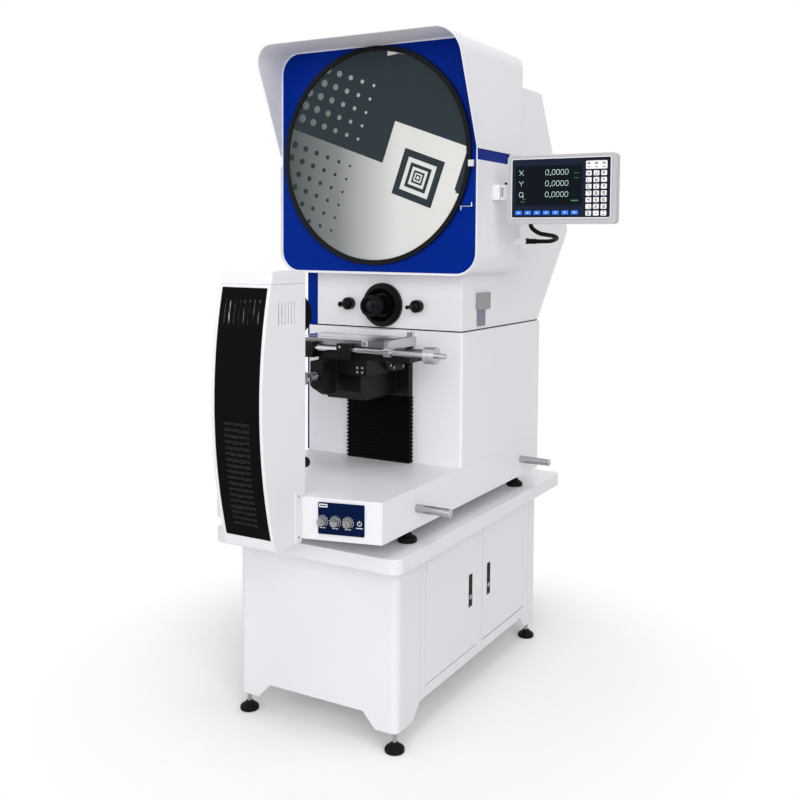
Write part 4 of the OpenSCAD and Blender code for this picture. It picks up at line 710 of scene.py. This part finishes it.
# Pale edge of the hood round the blue fascia.
fasciaLow, fasciaHigh = corners("fascia")
trim = {"body": "machine", "slot": "white_paint", "origin": (0.0, fasciaLow[1], 0.0),
        "right": (1.0, 0.0, 0.0), "wide": 3.5, "corner": 62.0, "steps": 16, "lift": 0.15}
trimMid, trimSize = (fasciaLow + fasciaHigh)[[0, 2]] / 2, (fasciaHigh - fasciaLow)[[0, 2]]
trimInner, trimOuter = (roundRect(*trimMid, *(trimSize - 2 * inset), trim["corner"] - inset, trim["steps"])
                        for inset in (trim["wide"], 0.0))
facing("fasciaTrim", between(trimInner, trimOuter), trim, trim["lift"], white)

# Bright rim round the face sheet, a painted highlight, and a groove half way to the case's edge, as rings
# between two outlines.
bezel = {"corner": 3.0, "lift": 0.05,
         "rings": (("bezelRimHighlight", 0.6, 2.4, keyWhite), ("bezelGroove", 5.6, 6.3, plateGrey))}
faceLow, faceHigh = (corner[[0, 2]] for corner in corners("readout_overlay"))
faceMid, faceSize = (faceLow + faceHigh) / 2, faceHigh - faceLow
for name, inside, outside, material in bezel["rings"]:
    inner, outer = (roundRect(*faceMid, *(faceSize + 2 * out), bezel["corner"] + out)
                    for out in (inside, outside))
    facing(name, between(inner, outer), display, bezel["lift"], material)
print("stage: readout face made")

# Control panel print: a blank label with bars, a scale and two caption bars for each knob, an on-off mark.
panel = {"body": "machine", "slot": "navy_panel", "corner": (55.0, -589.0), "slant": (203.0, 49.0),
         "thick": 3.0, "knobs": (56.0, 33.3, 619.0), "knobCount": 3, "sweep": 135, "ticks": 11, "steps": 40,
         "scale": (13.2, 13.8), "tick": (14.0, 16.0, 0.3), "caption": (1.2, 7.5, -16.6, 0.8),
         "mark": (152.1, 619.4), "markRing": (4.4, 6.0, 35, 325), "markBar": (1.0, 7.0, 0.8),
         "markLine": (8.5, -11.4, 0.9), "label": (57.9, 657.8, 21.7, 8.6), "labelCorner": 0.8,
         "bars": (-8.0, 4.4, 2.6, 1.7), "barCount": 4, "lifts": (0.08, 0.06, 0.12)}
slantLength = math.hypot(*panel["slant"])
panel["origin"] = (*panel["corner"], 0.0)
panel["right"] = (panel["slant"][0] / slantLength, panel["slant"][1] / slantLength, 0.0)
firstKnob, knobPitch, knobZ = panel["knobs"]
tickIn, tickOut, tickStroke = panel["tick"]
captionIn, captionOut, captionDown, captionStroke = panel["caption"]
sweep = panel["sweep"]
scales = []
for i in range(panel["knobCount"]):
    at = np.array([firstKnob + knobPitch * i, knobZ])
    scales += arcStrip(at, *panel["scale"], -sweep, sweep, panel["steps"])
    for turned in np.radians(np.linspace(-sweep, sweep, panel["ticks"])):
        ray = np.array([math.sin(turned), math.cos(turned)])
        scales.append(stroke(at + ray * tickIn, at + ray * tickOut, tickStroke))
    scales.append(stroke(at + [-captionOut, captionDown], at + [-captionIn, captionDown], captionStroke))
    scales.append(stroke(at + [captionIn, captionDown], at + [captionOut, captionDown], captionStroke))
mark = np.array(panel["mark"])
barLow, barHigh, barStroke = panel["markBar"]
lineHalf, lineDown, lineStroke = panel["markLine"]
scales += arcStrip(mark, *panel["markRing"], panel["steps"])
scales.append(stroke(mark + [0.0, barLow], mark + [0.0, barHigh], barStroke))
scales.append(stroke(mark + [-lineHalf, lineDown], mark + [lineHalf, lineDown], lineStroke))
scaleLift, labelLift, barLift = (panel["thick"] + lift for lift in panel["lifts"])
facing("panelScales", scales, panel, scaleLift, keyWhite)
facing("panelLabel", [roundRect(*panel["label"], panel["labelCorner"])], panel, labelLift, keyWhite)
labelAt = np.array(panel["label"][:2])
barFrom, barPitch, barLength, barHalf = panel["bars"]
barStarts = [barFrom + barPitch * i for i in range(panel["barCount"])]
labelBars = [stroke(labelAt + [start, 0.0], labelAt + [start + barLength, 0.0], barHalf)
             for start in barStarts]
facing("panelLabelBars", labelBars, panel, barLift, navy)
print("stage: panel print made")

# Key slot in the lock of each door paddle; the black slot mark is painted shade inside the keyhole.
lock = {"slot": "black_plastic", "right": (0.0, 1.0, 0.0), "depth": 0.8, "z": 280.6, "slotHalf": (2.6, 0.8),
        "ring": (3.3, 4.2), "steps": 30, "lift": 0.06,
        "doors": (("frontLockSlot", "paddle_f", "latch_front"), ("rearLockSlot", "paddle_r", "latch_rear"))}
for name, body, node in lock["doors"]:
    low, high = corners(node)
    plane = {**lock, "body": body, "origin": (high[0] - lock["depth"], 0.0, 0.0)}
    lockAt = np.array([(low[1] + high[1]) / 2, lock["z"]])
    slotHalf, slotStroke = lock["slotHalf"]
    slotMark = stroke(lockAt - [0.0, slotHalf], lockAt + [0.0, slotHalf], slotStroke)
    slotRing = arcStrip(lockAt, *lock["ring"], 0, 360, lock["steps"])
    facing(name, [slotMark] + slotRing, plane, lock["lift"], printBlack)

# Dark screw in the plate on the work table's front edge.
plate = {"body": "table", "slot": "aluminium", "origin": (0.0, corners("work_table")[0][1], 0.0),
         "right": (1.0, 0.0, 0.0), "at": (89.0, 1036.8), "radius": 3.2, "lift": 0.06}
facing("tableScrew", [dot * plate["radius"] + plate["at"]], plate, plate["lift"], printBlack)

# Socket screw in the front of the readout's swivel link; its black hexagon is painted shade in the socket.
link = {"body": "readout", "slot": "black_plastic", "origin": (0.0, -61.0, 0.0), "right": (1.0, 0.0, 0.0),
        "at": (368.5, 1445.0), "head": (2.6, 4.6), "steps": 30, "socket": 2.7, "lifts": (0.08, 0.06)}
headLift, socketLift = link["lifts"]
facing("linkScrew", arcStrip(link["at"], *link["head"], 0, 360, link["steps"]), link, headLift, steel)
facing("linkSocket", [circle(6) * link["socket"] + link["at"]], link, socketLift, printBlack)

# Painted shade: a dark line standing in for the shadow in the gap between the column and the neck: name,
# ends, origin and direction of each side.
neckGapShade = {"body": "machine", "slot": "black_rubber", "z": (1056.3, 1059.3), "lift": 0.12,
          "sides": (("neckGapShadeFront", (-231.0, 254.0), (0.0, -108.0, 0.0), (1.0, 0.0, 0.0)),
                    ("neckGapShadeSide", (-108.0, 440.0), (254.0, 0.0, 0.0), (0.0, 1.0, 0.0)))}
for name, (start, end), origin, along in neckGapShade["sides"]:
    strip = {**neckGapShade, "origin": origin, "right": along}
    stripOutline = np.array(rectangle(start, neckGapShade["z"][0], end, neckGapShade["z"][1]))
    facing(name, [stripOutline], strip, neckGapShade["lift"], rubber)

# Seams of the cabinet's corner posts, out beyond the doors and down past their lower edges.
seam = {"body": "machine", "slot": "white_paint", "origin": (corners("cabinet_shell")[1][0], 0.0, 0.0),
        "right": (0.0, 1.0, 0.0), "out": 33.0, "half": 0.5, "below": 24.0, "clear": 1.0, "lift": 0.06}
seamLow = corners("door_front")[0][2] - seam["below"]
seamHigh = corners("cabinet_shell")[1][2] - seam["clear"]
seamAt = (corners("door_front")[0][1] - seam["out"], corners("door_rear")[1][1] + seam["out"])
seams = [stroke((y, seamLow), (y, seamHigh), seam["half"]) for y in seamAt]
facing("postSeams", seams, seam, seam["lift"], grey)

# Cover over the upper end of the bellows: sides, front and top of folded sheet.
header = {"name": "bellowsHeader", "body": "machine", "slot": "white_paint", "reach": 2.0, "drop": 32.0,
          "rise": 5.0, "gap": 0.3, "sheet": 1.2, "fold": 0.5, "segments": 2}
low, high = corners("bellows_upper")
x1, y0, y1 = high[0] + header["reach"], low[1] - header["reach"], high[1] - header["gap"]
z0, z1 = high[2] - header["drop"], high[2] + header["rise"]
headerPoints = np.array([[x, y, z] for z in (z0, z1) for x, y in ((-x1, y1), (-x1, y0), (x1, y0), (x1, y1))])
headerFaces = [[0, 1, 5, 4], [1, 2, 6, 5], [2, 3, 7, 6], [4, 5, 6, 7]]
cover = piece(header["name"], headerPoints * mm, headerFaces, header["body"], white)
thick = cover.modifiers.new("sheet", "SOLIDIFY")
thick.thickness = header["sheet"] * mm
thick.offset = -1.0
folds = cover.modifiers.new("folds", "BEVEL")
folds.width = header["fold"] * mm
folds.segments = header["segments"]
folds.harden_normals = True
print("stage: small marks made")


# Placement at a point, with axes x, y and z.
def placed(at, x, y, z):
    return Matrix.Translation(at) @ Matrix(np.stack([x, y, z], 1).tolist()).to_4x4()


# Camera fitted to the photograph: turn goes to the left, tip down, and roll about its own axis.
camera = {"at": (1.4763, -2.5693, 1.3055), "turn": math.radians(29.091), "tip": math.radians(3.522),
          "roll": math.radians(0.443), "lens": 44.565, "sensor": 36.0, "shift": (-0.0198, -0.1205),
          "end": 50.0}
turn, tip, roll = camera["turn"], camera["tip"], camera["roll"]
ahead = np.array([-math.sin(turn) * math.cos(tip), math.cos(turn) * math.cos(tip), -math.sin(tip)])
right = np.array([math.cos(turn), math.sin(turn), 0.0])
up = np.cross(right, ahead)
rolledRight = math.cos(roll) * right + math.sin(roll) * up
rolledUp = math.cos(roll) * up - math.sin(roll) * right
lens = bpy.data.cameras.new("camera")
lens.lens = camera["lens"]
lens.sensor_width = camera["sensor"]
lens.shift_x, lens.shift_y = camera["shift"]
lens.clip_end = camera["end"]
view = added("camera", lens)
view.matrix_world = placed(camera["at"], rolledRight, rolledUp, -ahead)
bpy.context.scene.camera = view


# 1 for rays from the camera, from reflections and through glass, 0 for other rays.
def seenDirectly(tree):
    path = addNode(tree, "ShaderNodeLightPath")
    larger = {"operation": "MAXIMUM"}
    first = addNode(tree, "ShaderNodeMath", larger,
                    links={0: path.outputs["Is Camera Ray"], 1: path.outputs["Is Glossy Ray"]})
    both = addNode(tree, "ShaderNodeMath", larger,
                   links={0: first.outputs[0], 1: path.outputs["Is Transmission Ray"]})
    return both.outputs[0]


# Floor: pale and matt round the object, where its shadow falls, and plain white for the camera farther out.
floor = {"name": "floor", "half": 14.0, "z": -0.0005, "near": 0.5, "far": 1.15, "rough": 0.6, "grain": 40.0,
         "detail": 3.0, "shades": ((0.85, 0.85, 0.85, 1), (0.88, 0.88, 0.88, 1)), "white": (1, 1, 1, 1)}
floorPaint = bpy.data.materials.new("floorPaint")
floorPaint.use_nodes = True
tree = floorPaint.node_tree
tree.nodes.clear()
place = addNode(tree, "ShaderNodeTexCoord").outputs["Object"]
dust = addNode(tree, "ShaderNodeTexNoise", values={"Scale": floor["grain"], "Detail": floor["detail"]},
               links={"Vector": place})
shade = addNode(tree, "ShaderNodeMix", {"data_type": "RGBA"}, {6: floor["shades"][0], 7: floor["shades"][1]},
                {"Factor": dust.outputs["Fac"]})
matt = addNode(tree, "ShaderNodeBsdfDiffuse", values={"Roughness": floor["rough"]},
               links={"Color": shade.outputs[2]})
plain = addNode(tree, "ShaderNodeEmission", values={"Color": floor["white"], "Strength": 1.0})
reach = addNode(tree, "ShaderNodeVectorMath", {"operation": "LENGTH"}, links={0: place})
outward = addNode(tree, "ShaderNodeMapRange", {"interpolation_type": "SMOOTHSTEP"},
                  {"From Min": floor["near"], "From Max": floor["far"]}, {"Value": reach.outputs["Value"]})
share = addNode(tree, "ShaderNodeMath", {"operation": "MULTIPLY"},
                links={0: outward.outputs[0], 1: seenDirectly(tree)})
surface = addNode(tree, "ShaderNodeMixShader",
                  links={0: share.outputs[0], 1: matt.outputs[0], 2: plain.outputs[0]})
addNode(tree, "ShaderNodeOutputMaterial", links={"Surface": surface.outputs[0]})
floorMesh = bpy.data.meshes.new(floor["name"])
floorCorners = rectangle(-floor["half"], -floor["half"], floor["half"], floor["half"])
floorMesh.from_pydata([(x, y, floor["z"]) for x, y in floorCorners], [], [[0, 1, 2, 3]])
floorMesh.materials.append(floorPaint)
floorPiece = added(floor["name"], floorMesh)

# Room: even pale light, seen as white where nothing stands.
room = {"color": (1, 1, 1, 1), "light": 0.42, "seen": 1.0}
world = bpy.data.worlds.new("room")
bpy.context.scene.world = world
world.use_nodes = True
sky = world.node_tree
sky.nodes.clear()
roomLight, roomWhite = (addNode(sky, "ShaderNodeBackground", values={"Color": room["color"], "Strength": k})
                        for k in (room["light"], room["seen"]))
roomMix = addNode(sky, "ShaderNodeMixShader",
                  links={0: seenDirectly(sky), 1: roomLight.outputs[0], 2: roomWhite.outputs[0]})
addNode(sky, "ShaderNodeOutputWorld", links={"Surface": roomMix.outputs[0]})

# Square lamps in metres and watts, each turned from its place towards its aim.
lamps = [
    {"name": "keyLight", "at": (6.66, -7.52, 4.5), "aim": (0, -0.1, 0.9), "size": 7.0, "power": 495},
    {"name": "frontLight", "at": (2.3, -11.8, 3.6), "aim": (0, 0, 0.9), "size": 6.7, "power": 180},
    {"name": "topLight", "at": (1.5, -2.8, 9.5), "aim": (0, 0, 0.8), "size": 5.0, "power": 268},
    {"name": "leftLight", "at": (-6.7, -8.3, 3.6), "aim": (0, 0, 0.9), "size": 6.7, "power": 135},
    {"name": "backLight", "at": (-6.0, 8.5, 6.0), "aim": (0, 0, 0.9), "size": 6.7, "power": 200},
]
for lamp in lamps:
    data = bpy.data.lights.new(lamp["name"], "AREA")
    data.size = lamp["size"]
    data.energy = lamp["power"]
    away = np.array(lamp["at"]) - np.array(lamp["aim"])
    away /= np.linalg.norm(away)
    side = np.cross([0, 0, 1], away)
    side /= np.linalg.norm(side)
    made = added(lamp["name"], data)
    made.matrix_world = placed(lamp["at"], side, np.cross(away, side), away)

bpy.context.scene.view_settings.view_transform = "Standard"
print("stage: camera, floor and light set")
